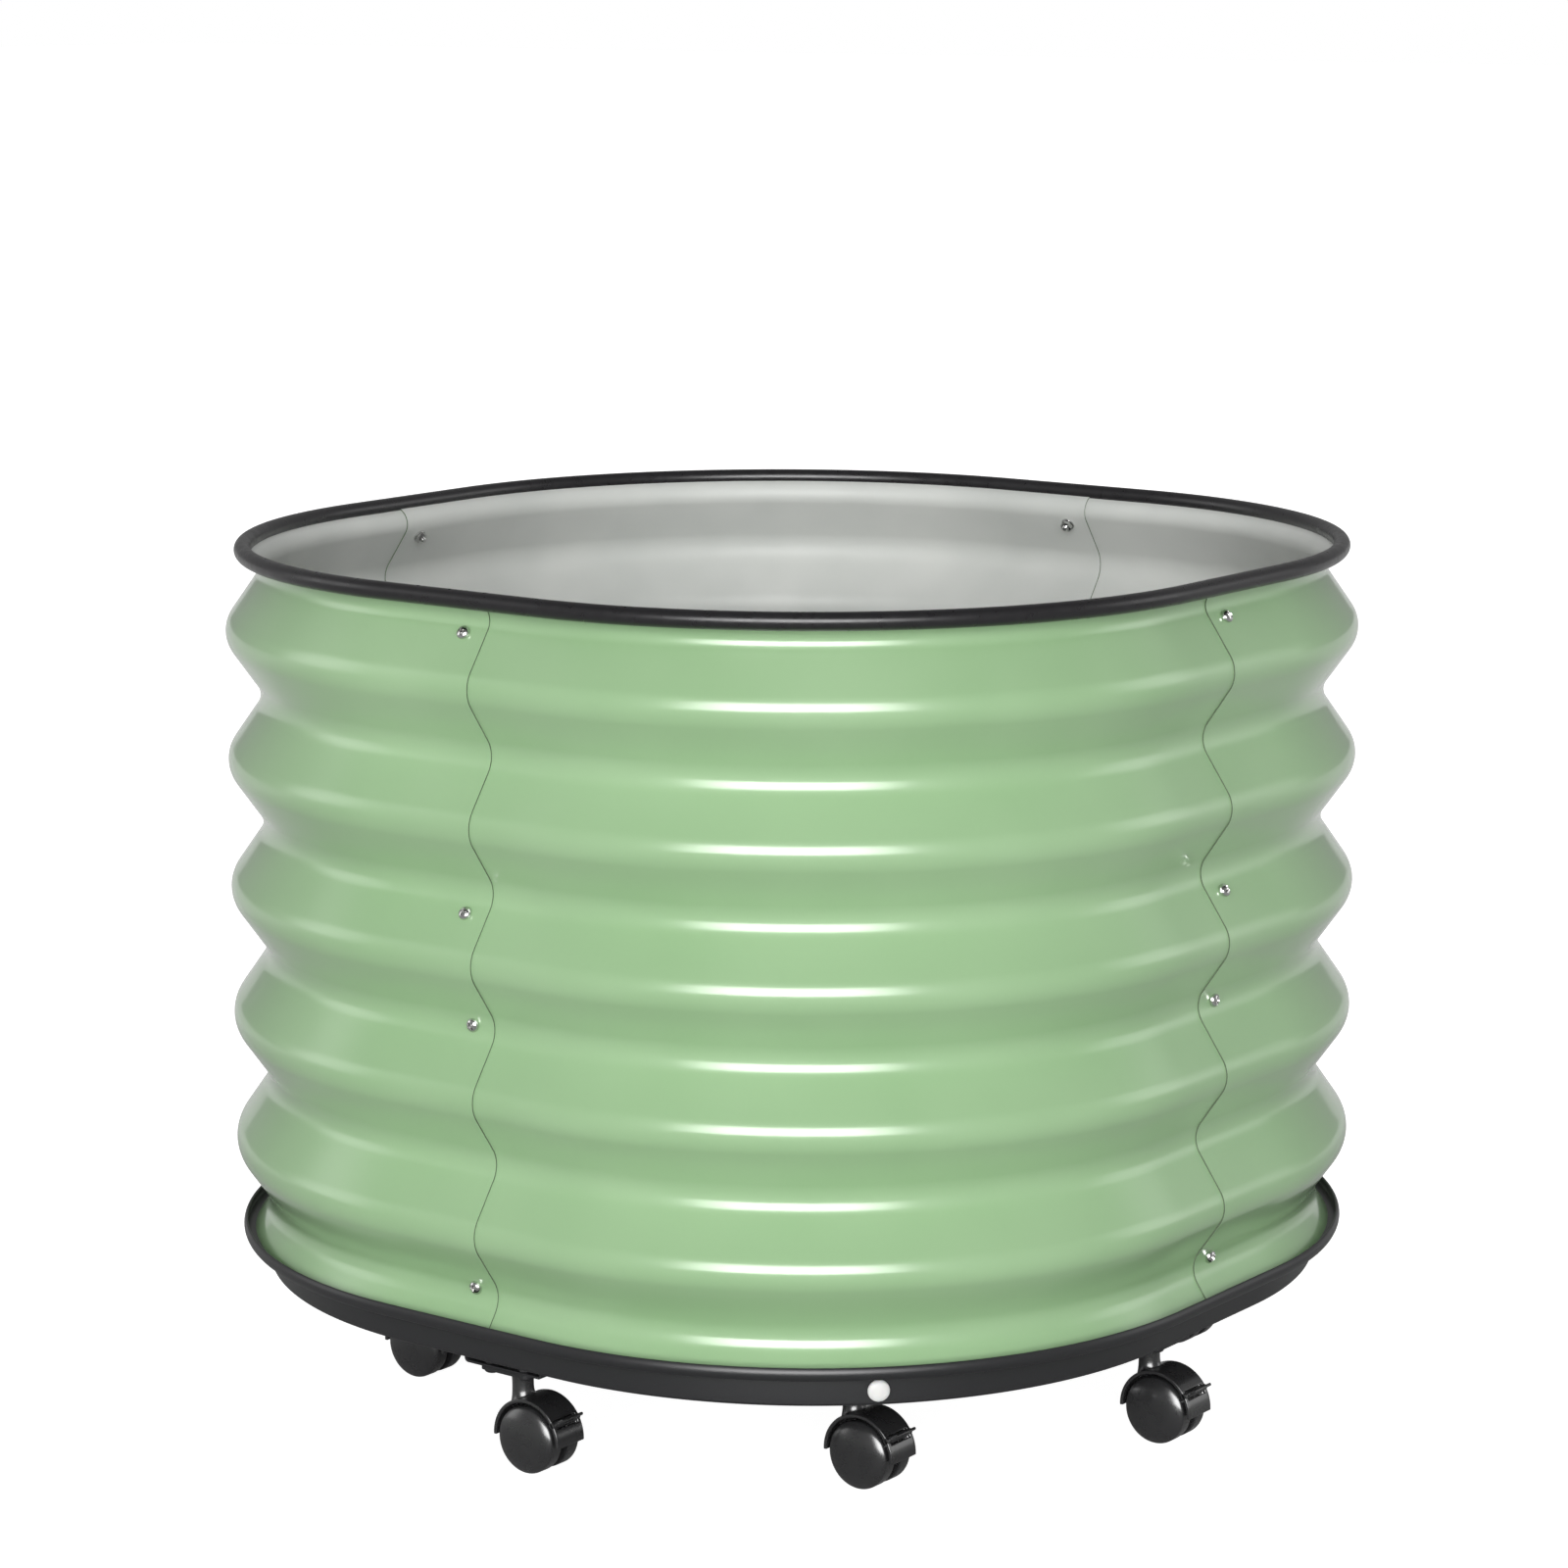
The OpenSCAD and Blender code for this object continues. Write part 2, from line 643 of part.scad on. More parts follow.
module housing() {
    slot_in = hood_t / 2 + hood_gap + cut;
    slot_len = slot_in + pedal_reach;
    difference() {
        union() {
            at_axle() difference() {
                intersection() {
                    y_rod(2 * hood_out_r, -hood_w / 2, hood_w / 2);
                    above_axle(hood_out_r);
                }
                y_rod(2 * hood_in_r, -hood_w, hood_w);
            }
            at_axle() intersection() {
                y_rod(2 * hood_in_r + hood_t, -web_t / 2, web_t / 2);
                above_axle(hood_out_r);
            }
            at_axle() y_rod(2 * axle_boss_r, -web_t / 2, web_t / 2);
            difference() {
                translate([0, 0, axle_z]) cylinder(h = neck_top_z - axle_z, d = neck_d);
                at_axle() y_rod(2 * hood_in_r, -hood_w, hood_w);
            }
            difference() {
                at_pivot() y_rod(pivot_boss_d, -hood_w / 2, hood_w / 2);
                at_axle() y_rod(2 * (hood_in_r - hood_gap / 2), -hood_w, hood_w);
            }
        }
        translate([0, 0, neck_top_z - neck_bore_depth])
            cylinder(h = neck_bore_depth + cut, d = kingpin_d + 2 * kingpin_play);
        at_axle() y_rod(axle_d + snug_play, -web_t, web_t);
        at_pivot() {
            translate([-slot_in, -pedal_w / 2 - slot_play, -slot_below])
                cube([slot_len, pedal_w + 2 * slot_play, slot_below + slot_above]);
            y_rod(pivot_d + 2 * pivot_play, -pivot_pin_len / 2 - slot_play, pivot_pin_len / 2 + slot_play);
        }
    }
}

module axle() { at_axle() y_rod(axle_d, -axle_len / 2, axle_len / 2); }

// A wheel with a domed face, on the far side (+Y) of the web
module wheel() {
    at_axle() difference() {
        union() {
            y_rod(wheel_d, wheel_in_y, wheel_rim_y);
            intersection() {
                y_rod(2 * dome_base_r, wheel_in_y, wheel_pair_w);
                translate([0, wheel_pair_w / 2 - dome_ball_r, 0]) sphere(dome_ball_r);
            }
        }
        y_rod(axle_d + 2 * axle_play, wheel_in_y - cut, axle_len / 2 + axle_end_gap);
    }
}

// The pedal turns on its pivot in the hood's slot, and its shoe swings towards the treads
module brake() {
    at_pivot() {
        y_rod(pivot_d, -pivot_pin_len / 2, pivot_pin_len / 2);
        y_rod(lever_hub_d, -pedal_w / 2, pedal_w / 2);
        translate([0, -pedal_w / 2, -pedal_t / 2]) cube([pedal_reach, pedal_w, pedal_t]);
        rotate([0, -shoe_angle, 0]) translate([0, -pedal_w / 2, -shoe_t / 2])
            cube([shoe_len, pedal_w, shoe_t]);
    }
}

panel_front();
panel_right();
panel_back();
panel_left();
rim_trim();
base_tray();
drain_plug();
plug_gasket();
seam_bolts();
seam_washers();
seam_nuts();
caster_brackets();
bracket_studs();
bracket_nuts();
caster_plates();
plate_screws();
plate_nuts();
kingpins();
thrust_washers();
for (i = [0 : CASTERS - 1]) {
    names = caster_nodes(i);
    color(CASTER_BLACK) at_caster(i) housing();
    color(BRIGHT_STEEL) at_caster(i) axle();
    color(CASTER_BLACK) at_caster(i) mirror([0, 1, 0]) wheel();
    color(CASTER_BLACK) at_caster(i) wheel();
    color(CASTER_BLACK) at_caster(i) brake();
}
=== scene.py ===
import math

import bmesh
import bpy
from mathutils import Matrix, Vector


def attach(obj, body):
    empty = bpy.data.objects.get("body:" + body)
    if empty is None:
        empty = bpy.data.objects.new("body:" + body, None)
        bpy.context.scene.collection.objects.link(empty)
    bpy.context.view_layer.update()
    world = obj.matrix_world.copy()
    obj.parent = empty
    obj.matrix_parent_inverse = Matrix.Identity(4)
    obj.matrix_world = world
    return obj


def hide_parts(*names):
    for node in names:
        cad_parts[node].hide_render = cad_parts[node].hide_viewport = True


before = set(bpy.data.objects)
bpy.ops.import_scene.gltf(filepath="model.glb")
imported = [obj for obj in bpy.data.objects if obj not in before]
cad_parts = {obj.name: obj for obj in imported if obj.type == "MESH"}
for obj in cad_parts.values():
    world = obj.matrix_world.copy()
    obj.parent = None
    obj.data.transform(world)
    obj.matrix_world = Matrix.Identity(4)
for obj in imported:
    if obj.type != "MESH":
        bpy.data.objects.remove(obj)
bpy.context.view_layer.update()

# ------------------------------------------------ sizes

MM = 0.001

# The plan: a square with round corners, measured over the wave crests
SIDE_W = 640 * MM
CORNER_R = 266 * MM
CORNER_C = SIDE_W / 2 - CORNER_R

# The wave of the wall panels
WAVE_PITCH = 78 * MM
WAVE_DEPTH = 20 * MM
WAVE_CRESTS = 5
WAVE_BEND_R = 16.5 * MM
SHEET_T = 0.8 * MM
LAP_STEP = 0.9 * MM
RIM_BEND_R = 10 * MM
RIM_FLARE_LEAN = math.radians(60)
RIM_FLARE_LEN = 6 * MM
SEAM_LAP = 15 * MM

# Heights above the floor
CASTER_H = 61 * MM
TRAY_Z = 73 * MM
LEDGE_Z = 94 * MM
LOW_CREST_Z = 152 * MM
HIGH_CREST_Z = LOW_CREST_Z + (WAVE_CRESTS - 1) * WAVE_PITCH

# The rim trim and the base tray
TRIM_D = 10.4 * MM
TRAY_T = 1.5 * MM
TRAY_WALL_X = CORNER_R - 18 * MM
TRAY_BEND_R = 2 * MM
LIP_X = CORNER_R - 2 * MM
LIP_BULGE = 1.3 * MM
LIP_TOP_Z = LEDGE_Z + 6 * MM

# Seam bolts: heights by the wave, and the sizes of head, washer and nut
BOLT_LEVELS = (
    HIGH_CREST_Z + 0.36 * WAVE_PITCH,
    HIGH_CREST_Z - 1.67 * WAVE_PITCH,
    HIGH_CREST_Z - 2.49 * WAVE_PITCH,
    LOW_CREST_Z - 0.45 * WAVE_PITCH,
)
BOLT_D = 4 * MM
BOLT_HEAD_D = 8 * MM
BOLT_HEAD_H = 3.2 * MM

# Casters: one in each corner and one under the middle of each side
CASTERS = 8
SIDE_CASTER_REACH = SIDE_W / 2 - 58 * MM
CORNER_CASTER_REACH = CORNER_C * math.sqrt(2) + CORNER_R - 104 * MM
CASTER_TRAIL = 11.5 * MM
WHEEL_R = 20 * MM
WHEEL_IN_Y = 3.2 * MM
WHEEL_RIM_Y = 11 * MM
WHEEL_OUT_Y = 16.5 * MM
AXLE_D = 5 * MM
HOOD_IN_R = WHEEL_R + 2 * MM
HOOD_T = 2.2 * MM
HOOD_W = 24 * MM
HOOD_SKIRT = 1 * MM
WEB_T = 5 * MM
NECK_D = 12.5 * MM
NECK_TOP_Z = 56.9 * MM
PEDAL_ANGLE = math.radians(32)
PEDAL_REACH = 7.5 * MM
PEDAL_W = 18 * MM
PEDAL_T = 2 * MM
PIVOT_D = 2 * MM

# Steps in the smooth curves
PLAN_STEPS = 64
BEND_STEPS = 12

# How far a cutter reaches past what it cuts
CUT_PAST = 1 * MM


# ------------------------------------------------ node helpers

def linear(hex_code):
    """An sRGB hex colour as linear red, green, blue and alpha."""
    values = [int(hex_code[i:i + 2], 16) / 255 for i in (1, 3, 5)]
    low = [v / 12.92 if v <= 0.04045 else ((v + 0.055) / 1.055) ** 2.4 for v in values]
    return (*low, 1.0)


def add(tree, kind, inputs=None, **settings):
    """Adds a node, sets its properties, and sets or links its inputs by name or number."""
    node = tree.nodes.new(kind)
    for key, value in settings.items():
        setattr(node, key, value)
    for key, value in (inputs or {}).items():
        socket = node.inputs[key]
        if isinstance(value, bpy.types.NodeSocket):
            tree.links.new(value, socket)
        else:
            socket.default_value = value
    return node


def new_material(name, **shader_values):
    """A material with a Principled shader whose constants sit on its own sockets."""
    material = bpy.data.materials.new(name)
    material.use_nodes = True
    tree = material.node_tree
    shader = tree.nodes["Principled BSDF"]
    for key, value in shader_values.items():
        shader.inputs[key.replace("_", " ")].default_value = value
    return material, tree, shader


def speckle(tree, per_metre, detail=2.0):
    """Noise on Object coordinates, at so many grains to the metre."""
    place = add(tree, "ShaderNodeTexCoord")
    noise = add(tree, "ShaderNodeTexNoise", {
        "Vector": place.outputs["Object"], "Scale": per_metre, "Detail": detail})
    return noise.outputs["Fac"]


def bump(tree, shader, height, distance, strength, socket="Normal"):
    """Feeds a height into the shader as bump."""
    node = add(tree, "ShaderNodeBump", {
        "Height": height, "Distance": distance, "Strength": strength})
    tree.links.new(node.outputs["Normal"], shader.inputs[socket])


def spread(tree, value, low, high):
    """Maps a noise value to the range from low to high."""
    node = add(tree, "ShaderNodeMapRange", {
        "Value": value, "From Min": 0.3, "From Max": 0.7, "To Min": low, "To Max": high})
    return node.outputs["Result"]


def tint(tree, shader, value, dark, light):
    """Colours the shader between two sRGB colours by a value."""
    node = add(tree, "ShaderNodeMix", {"Factor": value, 6: linear(dark), 7: linear(light)},
               data_type="RGBA")
    tree.links.new(node.outputs[2], shader.inputs["Base Color"])


def polish(tree, shader, value, low, high):
    """Spreads the shader's roughness from low to high by a noise value."""
    tree.links.new(spread(tree, value, low, high), shader.inputs["Roughness"])


# ------------------------------------------------ materials

def green_baked_enamel():
    """Baked enamel on steel sheet: an even sage green under a clear, wet-looking top coat.

    The coat gives long sharp streaks of light along the waves; a faint orange peel of about
    2 mm keeps them from looking drawn with a ruler.
    """
    material, tree, shader = new_material(
        "green_baked_enamel", Roughness=0.34, Coat_Weight=1.0, Coat_Roughness=0.1, Coat_IOR=1.5)
    cloud = speckle(tree, 9.0)
    tint(tree, shader, spread(tree, cloud, 0.0, 1.0), "#9ABF8F", "#A3C698")
    bump(tree, shader, speckle(tree, 500.0, 1.0), 0.02 * MM, 0.15, "Coat Normal")
    return material


def bare_cut_edge():
    """The cut edge of enamelled sheet: dull steel under an uneven wipe of green, darkened further as
    painted shade in the seam gap.
    """
    material, tree, shader = new_material("bare_cut_edge", Roughness=0.6)
    tint(tree, shader, speckle(tree, 600.0), "#57634F", "#6C7A66")
    return material


def grey_back_coat():
    """The thin grey primer that rolled sheet has on its back: matt, slightly cloudy."""
    material, tree, shader = new_material("grey_back_coat", Roughness=0.5)
    cloud = speckle(tree, 14.0)
    tint(tree, shader, spread(tree, cloud, 0.0, 1.0), "#C6C9C5", "#D2D4D0")
    bump(tree, shader, speckle(tree, 900.0, 1.0), 0.02 * MM, 0.3)
    return material


def black_powder_coat():
    """Powder coat on the tray and brackets: satin black with a fine even pebble of 1 mm."""
    material, tree, shader = new_material("black_powder_coat", Roughness=0.36)
    grain = speckle(tree, 1000.0, 1.5)
    tint(tree, shader, grain, "#232325", "#2B2B2D")
    bump(tree, shader, grain, 0.03 * MM, 0.25)
    return material


def black_extruded_rubber():
    """Extruded rubber bead: soft black with a broad, slightly cloudy sheen."""
    material, tree, shader = new_material("black_extruded_rubber", Roughness=0.3)
    grain = speckle(tree, 160.0, 3.0)
    tint(tree, shader, grain, "#1B1A1C", "#262527")
    polish(tree, shader, grain, 0.26, 0.36)
    return material


def black_moulded_nylon():
    """Injection-moulded nylon: black with a soft gloss, and a trace of flow in it."""
    material, tree, shader = new_material(
        "black_moulded_nylon", Roughness=0.28, Coat_Weight=1.0, Coat_Roughness=0.16)
    flow = speckle(tree, 120.0)
    tint(tree, shader, flow, "#272728", "#2E2E2F")
    polish(tree, shader, flow, 0.25, 0.32)
    return material


def bright_nickel_plate():
    """Nickel plate on the bolts and pins: a clear mirror with a slightly uneven polish."""
    material, tree, shader = new_material("bright_nickel_plate", Metallic=1.0, Roughness=0.12)
    wear = speckle(tree, 700.0)
    tint(tree, shader, wear, "#C4C4C3", "#D6D6D4")
    polish(tree, shader, wear, 0.09, 0.18)
    return material


def white_moulded_polythene():
    """Moulded polythene plug: soft waxy white."""
    material, tree, shader = new_material(
        "white_moulded_polythene", Roughness=0.42, Subsurface_Weight=0.08, Subsurface_Scale=2 * MM)
    tint(tree, shader, speckle(tree, 300.0), "#E9E9E6", "#F2F2F0")
    return material


ENAMEL = green_baked_enamel()
BACK_COAT = grey_back_coat()
# Cut sheet edges: their own dull colour, darkened further as painted shade in the seam gaps
CUT_EDGE_AND_SEAM_SHADE = bare_cut_edge()
POWDER_COAT = black_powder_coat()
RUBBER = black_extruded_rubber()
NYLON = black_moulded_nylon()
NICKEL = bright_nickel_plate()
POLYTHENE = white_moulded_polythene()


# ------------------------------------------------ mesh helpers

def new_object(name, mesh):
    """Puts a mesh or camera in the scene."""
    made = bpy.data.objects.new(name, mesh)
    bpy.context.scene.collection.objects.link(made)
    return made


def mesh_from(name, points, faces, edges=()):
    """A mesh from plain lists."""
    mesh = bpy.data.meshes.new(name)
    mesh.from_pydata([tuple(p) for p in points], list(edges), list(faces))
    mesh.update()
    return mesh


def drop(*objects):
    """Deletes helper objects once what they shaped is made."""
    for helper in objects:
        bpy.data.objects.remove(helper)


def baked(helper, name, sharp_deg=35):
    """The helper's finished mesh as a plain object, smooth apart from its sharp edges."""
    graph = bpy.context.evaluated_depsgraph_get()
    mesh = bpy.data.meshes.new_from_object(helper.evaluated_get(graph), depsgraph=graph)
    mesh.name = name
    drop(helper)
    outward(mesh)
    smooth(mesh, sharp_deg)
    return new_object(name, mesh)


def outward(mesh):
    """Merges doubles and turns every face outwards."""
    work = bmesh.new()
    work.from_mesh(mesh)
    bmesh.ops.remove_doubles(work, verts=work.verts, dist=0.001 * MM)
    bmesh.ops.recalc_face_normals(work, faces=work.faces)
    work.to_mesh(mesh)
    work.free()


def smooth(mesh, sharp_deg):
    """Shades a mesh smooth apart from edges sharper than an angle."""
    mesh.polygons.foreach_set("use_smooth", [True] * len(mesh.polygons))
    mesh.set_sharp_from_angle(angle=math.radians(sharp_deg))


def keep(piece, body, slot, *nodes):
    """Sets a finished piece on its body, in place of CAD nodes."""
    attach(piece, body)
    if nodes:
        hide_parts(*nodes)
    return piece


# ------------------------------------------------ swept pieces

def swept_sheet_tree():
    """Sweeps a section round a path that lies level; the section's X points outwards."""
    tree = bpy.data.node_groups.new("swept_sheet", "GeometryNodeTree")
    face = tree.interface
    face.new_socket("Path", in_out="INPUT", socket_type="NodeSocketGeometry")
    face.new_socket("Section", in_out="INPUT", socket_type="NodeSocketObject")
    face.new_socket("Outside finish", in_out="INPUT", socket_type="NodeSocketMaterial")
    face.new_socket("Inside finish", in_out="INPUT", socket_type="NodeSocketMaterial")
    face.new_socket("Sheet", in_out="OUTPUT", socket_type="NodeSocketGeometry")
    inputs = add(tree, "NodeGroupInput").outputs
    section = add(tree, "GeometryNodeObjectInfo", {"Object": inputs["Section"]})
    section_line = add(tree, "GeometryNodeMeshToCurve", {"Mesh": section.outputs["Geometry"]})
    path = add(tree, "GeometryNodeMeshToCurve", {"Mesh": inputs["Path"]})
    level = add(tree, "GeometryNodeSetCurveNormal", {"Curve": path.outputs["Curve"]}, mode="Z_UP")
    sheet = add(tree, "GeometryNodeCurveToMesh", {
        "Curve": level.outputs["Curve"],
        "Profile Curve": section_line.outputs["Curve"],
        "Fill Caps": True})
    outside = add(tree, "GeometryNodeSetMaterial", {
        "Geometry": sheet.outputs["Mesh"], "Material": inputs["Outside finish"]})
    on_inside = add(tree, "GeometryNodeInputNamedAttribute", {"Name": "inside"}, data_type="FLOAT")
    is_inside = add(tree, "FunctionNodeCompare", {
        "A": on_inside.outputs["Attribute"], "B": 0.6}, data_type="FLOAT", operation="GREATER_THAN")
    inside = add(tree, "GeometryNodeSetMaterial", {
        "Geometry": outside.outputs["Geometry"],
        "Selection": is_inside.outputs["Result"],
        "Material": inputs["Inside finish"]})
    add(tree, "NodeGroupOutput", {"Sheet": inside.outputs["Geometry"]})
    return tree


def set_input(modifier, name, value):
    """Sets a tree's named input through its socket's identifier."""
    for item in modifier.node_group.interface.items_tree:
        if item.name == name and item.in_out == "INPUT":
            modifier[item.identifier] = value


SWEEP = swept_sheet_tree()


def line_mesh(name, points, closed):
    """A line of edges through points."""
    edges = [(i, i + 1) for i in range(len(points) - 1)]
    if closed:
        edges.append((len(points) - 1, 0))
    return mesh_from(name, points, [], edges)


def sweep(name, path, path_closed, section, outside, inside=None, inside_from=None):
    """A section of (out, up) points swept along a path; points from inside_from on are inside."""
    section_mesh = line_mesh("section", [(x, -z, 0) for x, z in section], True)
    marks = section_mesh.attributes.new("inside", "FLOAT", "POINT")
    first = len(section) if inside_from is None else inside_from
    marks.data.foreach_set("value", [float(i >= first) for i in range(len(section))])
    section_object = new_object("section", section_mesh)
    path_object = new_object("path", line_mesh("path", path, path_closed))
    modifier = path_object.modifiers.new("sweep", "NODES")
    modifier.node_group = SWEEP
    set_input(modifier, "Section", section_object)
    set_input(modifier, "Outside finish", outside)
    set_input(modifier, "Inside finish", inside or outside)
    piece = baked(path_object, name)
    drop(section_object)
    return piece


def turn(point, quarter):
    """Turns a point about the Z axis by quarter turns."""
    return Matrix.Rotation(quarter * math.pi / 2, 3, "Z") @ Vector(point)


def bend(centre, r, start, end, steps=BEND_STEPS):
    """Points round a bend, with angles in radians."""
    angles = [start + (end - start) * i / steps for i in range(steps + 1)]
    return [(centre[0] + r * math.cos(a), centre[1] + r * math.sin(a)) for a in angles]


def corner_arc():
    """The arc round one corner of the plan."""
    centre = (CORNER_C, CORNER_C)
    return [(x, y, 0) for x, y in bend(centre, CORNER_R, 0, math.pi / 2, PLAN_STEPS)]


def panel_path(quarter):
    """The line of one panel: a corner's arc and the flats beside it, lapping past the seams."""
    crest = CORNER_C + CORNER_R
    line = [(crest, -SEAM_LAP, 0), *corner_arc(), (-SEAM_LAP, crest, 0)]
    return [turn(p, quarter) for p in line]


def plan_path():
    """The line once round the whole plan."""
    return [turn(p, quarter) for quarter in range(4) for p in corner_arc()]


# ------------------------------------------------ wall panels

BEND_SPAN = 2 * WAVE_BEND_R - WAVE_DEPTH
FLANK_LEAN = (math.asin(2 * WAVE_BEND_R / math.hypot(BEND_SPAN, WAVE_PITCH / 2))
              - math.atan2(BEND_SPAN, WAVE_PITCH / 2))
CREST_X = CORNER_R - SHEET_T / 2
VALLEY_X = CREST_X - WAVE_DEPTH
RIM_BEND_X = VALLEY_X + RIM_BEND_R
FLANK_DROP = WAVE_DEPTH - (WAVE_BEND_R + RIM_BEND_R) * (1 - math.cos(FLANK_LEAN))
RIM_BEND_Z = (HIGH_CREST_Z + (WAVE_BEND_R + RIM_BEND_R) * math.sin(FLANK_LEAN)
              + FLANK_DROP / math.tan(FLANK_LEAN))
FLARE_DIR = (math.sin(RIM_FLARE_LEAN), math.cos(RIM_FLARE_LEAN))
FLARE_END = (
    RIM_BEND_X - RIM_BEND_R * math.cos(RIM_FLARE_LEAN) + RIM_FLARE_LEN * FLARE_DIR[0],
    RIM_BEND_Z + RIM_BEND_R * math.sin(RIM_FLARE_LEAN) + RIM_FLARE_LEN * FLARE_DIR[1])


def wave_line(out):
    """The wave from foot to rim, moved out from the middle of the sheet, square to it."""
    points = []
    for k in range(WAVE_CRESTS):
        crest_z = LOW_CREST_Z + k * WAVE_PITCH
        valley = (VALLEY_X + WAVE_BEND_R, crest_z - WAVE_PITCH / 2)
        points += bend(valley, WAVE_BEND_R - out, math.pi + FLANK_LEAN, math.pi - FLANK_LEAN)
        points += bend((CREST_X - WAVE_BEND_R, crest_z), WAVE_BEND_R + out, -FLANK_LEAN, FLANK_LEAN)
    points += bend((RIM_BEND_X, RIM_BEND_Z), RIM_BEND_R - out,
                   math.pi + FLANK_LEAN, math.pi - RIM_FLARE_LEAN)
    points.append((FLARE_END[0] + out * FLARE_DIR[1], FLARE_END[1] - out * FLARE_DIR[0]))
    low_x, low_z = points[0]
    foot = (low_x + (low_z - LEDGE_Z) * math.tan(FLANK_LEAN), LEDGE_Z)
    return [foot, *points]


def wall_panel(name, quarter, laps_over):
    """One corrugated panel round one corner, enamelled outside and primed inside."""
    step = LAP_STEP if laps_over else 0.0
    outer = wave_line(step + SHEET_T / 2)
    inner = wave_line(step - SHEET_T / 2)
    section = [(x - CORNER_R, z) for x, z in outer + inner[::-1]]
    piece = sweep(name, panel_path(quarter), False, section, ENAMEL, BACK_COAT, len(outer))
    # The end caps take the cut-edge material, whose dark tone also paints the shade in the gap where
    # the panels lap.
    piece.data.materials.append(CUT_EDGE_AND_SEAM_SHADE)
    for face in piece.data.polygons:
        is_end_cap = len(face.vertices) > 4
        if is_end_cap:
            face.material_index = len(piece.data.materials) - 1
    return keep(piece, "planter", "green_paint", name.replace("_sheet", ""))


def wall_panels():
    """The four panels; the right and left ones lap outside the others."""
    wall_panel("panel_right_sheet", 0, True)
    wall_panel("panel_back_sheet", 1, False)
    wall_panel("panel_left_sheet", 2, True)
    wall_panel("panel_front_sheet", 3, False)


# ------------------------------------------------ rim trim and tray

def rim_bead():
    """The rubber bead round the flared top edge."""
    circle = bend(FLARE_END, TRIM_D / 2, 0, 2 * math.pi, 40)[:-1]
    section = [(x - CORNER_R, z) for x, z in circle]
    piece = sweep("rim_bead", plan_path(), True, section, RUBBER)
    return keep(piece, "planter", "black_rubber", "rim_trim")


def tray_outline():
    """The tray's section: bowed lip with round edges, ledge, wall, bend and floor."""
    edge_r = TRAY_T / 2
    lip_half_h = (LIP_TOP_Z - LEDGE_Z + TRAY_T) / 2
    lip_r = (lip_half_h ** 2 + LIP_BULGE ** 2) / (2 * LIP_BULGE) - edge_r
    lean = math.asin((lip_half_h - edge_r) / lip_r)
    centre = (LIP_X - lip_r - edge_r, LIP_TOP_Z - lip_half_h)
    low_end, high_end = bend(centre, lip_r, -lean, lean, 1)
    inner_low = math.asin((LEDGE_Z - centre[1]) / (lip_r - edge_r))
    floor_x = TRAY_WALL_X - 3 * TRAY_BEND_R
    wall_bend = (TRAY_WALL_X - TRAY_BEND_R, TRAY_Z + TRAY_BEND_R)
    points = [(floor_x, TRAY_Z)]
    points += bend(wall_bend, TRAY_BEND_R, -math.pi / 2, 0)
    points += [(TRAY_WALL_X, LEDGE_Z - TRAY_T)]
    points += bend(low_end, edge_r, -math.pi / 2, -lean, 6)
    points += bend(centre, lip_r + edge_r, -lean, lean, 20)[1:]
    points += bend(high_end, edge_r, lean, lean + math.pi, 10)[1:]
    points += bend(centre, lip_r - edge_r, lean, inner_low, 12)[1:]
    points += [(TRAY_WALL_X - TRAY_T, LEDGE_Z)]
    points += bend(wall_bend, TRAY_BEND_R - TRAY_T, 0, -math.pi / 2)
    points += [(floor_x, TRAY_Z + TRAY_T)]
    return points


def base_tray():
    """The black tray that carries the panels, swept round the plan and closed by its floor."""
    section = tray_outline()
    work = bmesh.new()
    loops = []
    for place in plan_path():
        x, y = place.x, place.y
        corner = Vector((math.copysign(CORNER_C, x), math.copysign(CORNER_C, y), 0))
        out = (Vector((x, y, 0)) - corner).normalized()
        loops.append([work.verts.new(corner + out * r + Vector((0, 0, z))) for r, z in section])
    for i, loop in enumerate(loops):
        following = loops[(i + 1) % len(loops)]
        for j in range(len(section) - 1):
            work.faces.new((loop[j], following[j], following[j + 1], loop[j + 1]))
    work.faces.new([loop[0] for loop in reversed(loops)])
    work.faces.new([loop[-1] for loop in loops])
    pan = finished("tray_pan", work)
    pan.data.materials.append(POWDER_COAT)
    return keep(pan, "planter", "black_paint", "base_tray")


# ------------------------------------------------ turned and cut pieces

def turned(name, profile, steps=48, ring=False):
    """Turns (along, radius) points about X; points on the axis close the ends."""
    work = bmesh.new()
    loops = []
    for along, radius in profile:
        angles = [2 * math.pi * i / steps for i in range(steps)] if radius else [0.0]
        loops.append([work.verts.new((along, radius * math.cos(a), radius * math.sin(a)))
                      for a in angles])
    for a, b in zip(loops, loops[1:] + (loops[:1] if ring else [])):
        for i in range(steps):
            j = (i + 1) % steps
            corners = [a[i % len(a)], a[j % len(a)], b[j % len(b)], b[i % len(b)]]
            work.faces.new(list(dict.fromkeys(corners)))
    return finished(name, work)


def lofted(name, rings):
    """Joins rings of as many points with faces and closes both ends."""
    work = bmesh.new()
    loops = [[work.verts.new(point) for point in ring] for ring in rings]
    count = len(loops[0])
    for a, b in zip(loops, loops[1:]):
        for i in range(count):
            j = (i + 1) % count
            work.faces.new((a[i], a[j], b[j], b[i]))
    work.faces.new(loops[0][::-1])
    work.faces.new(loops[-1])
    return finished(name, work)


def extruded(name, outline, low, high):
    """Extrudes a closed outline of (x, z) points along Y."""
    return lofted(name, [[(x, y, z) for x, z in outline] for y in (low, high)])


def finished(name, work):
    """Turns mesh work into an object with outward, smooth faces."""
    mesh = bpy.data.meshes.new(name)
    work.to_mesh(mesh)
    work.free()
    outward(mesh)
    smooth(mesh, 35)
    return new_object(name, mesh)


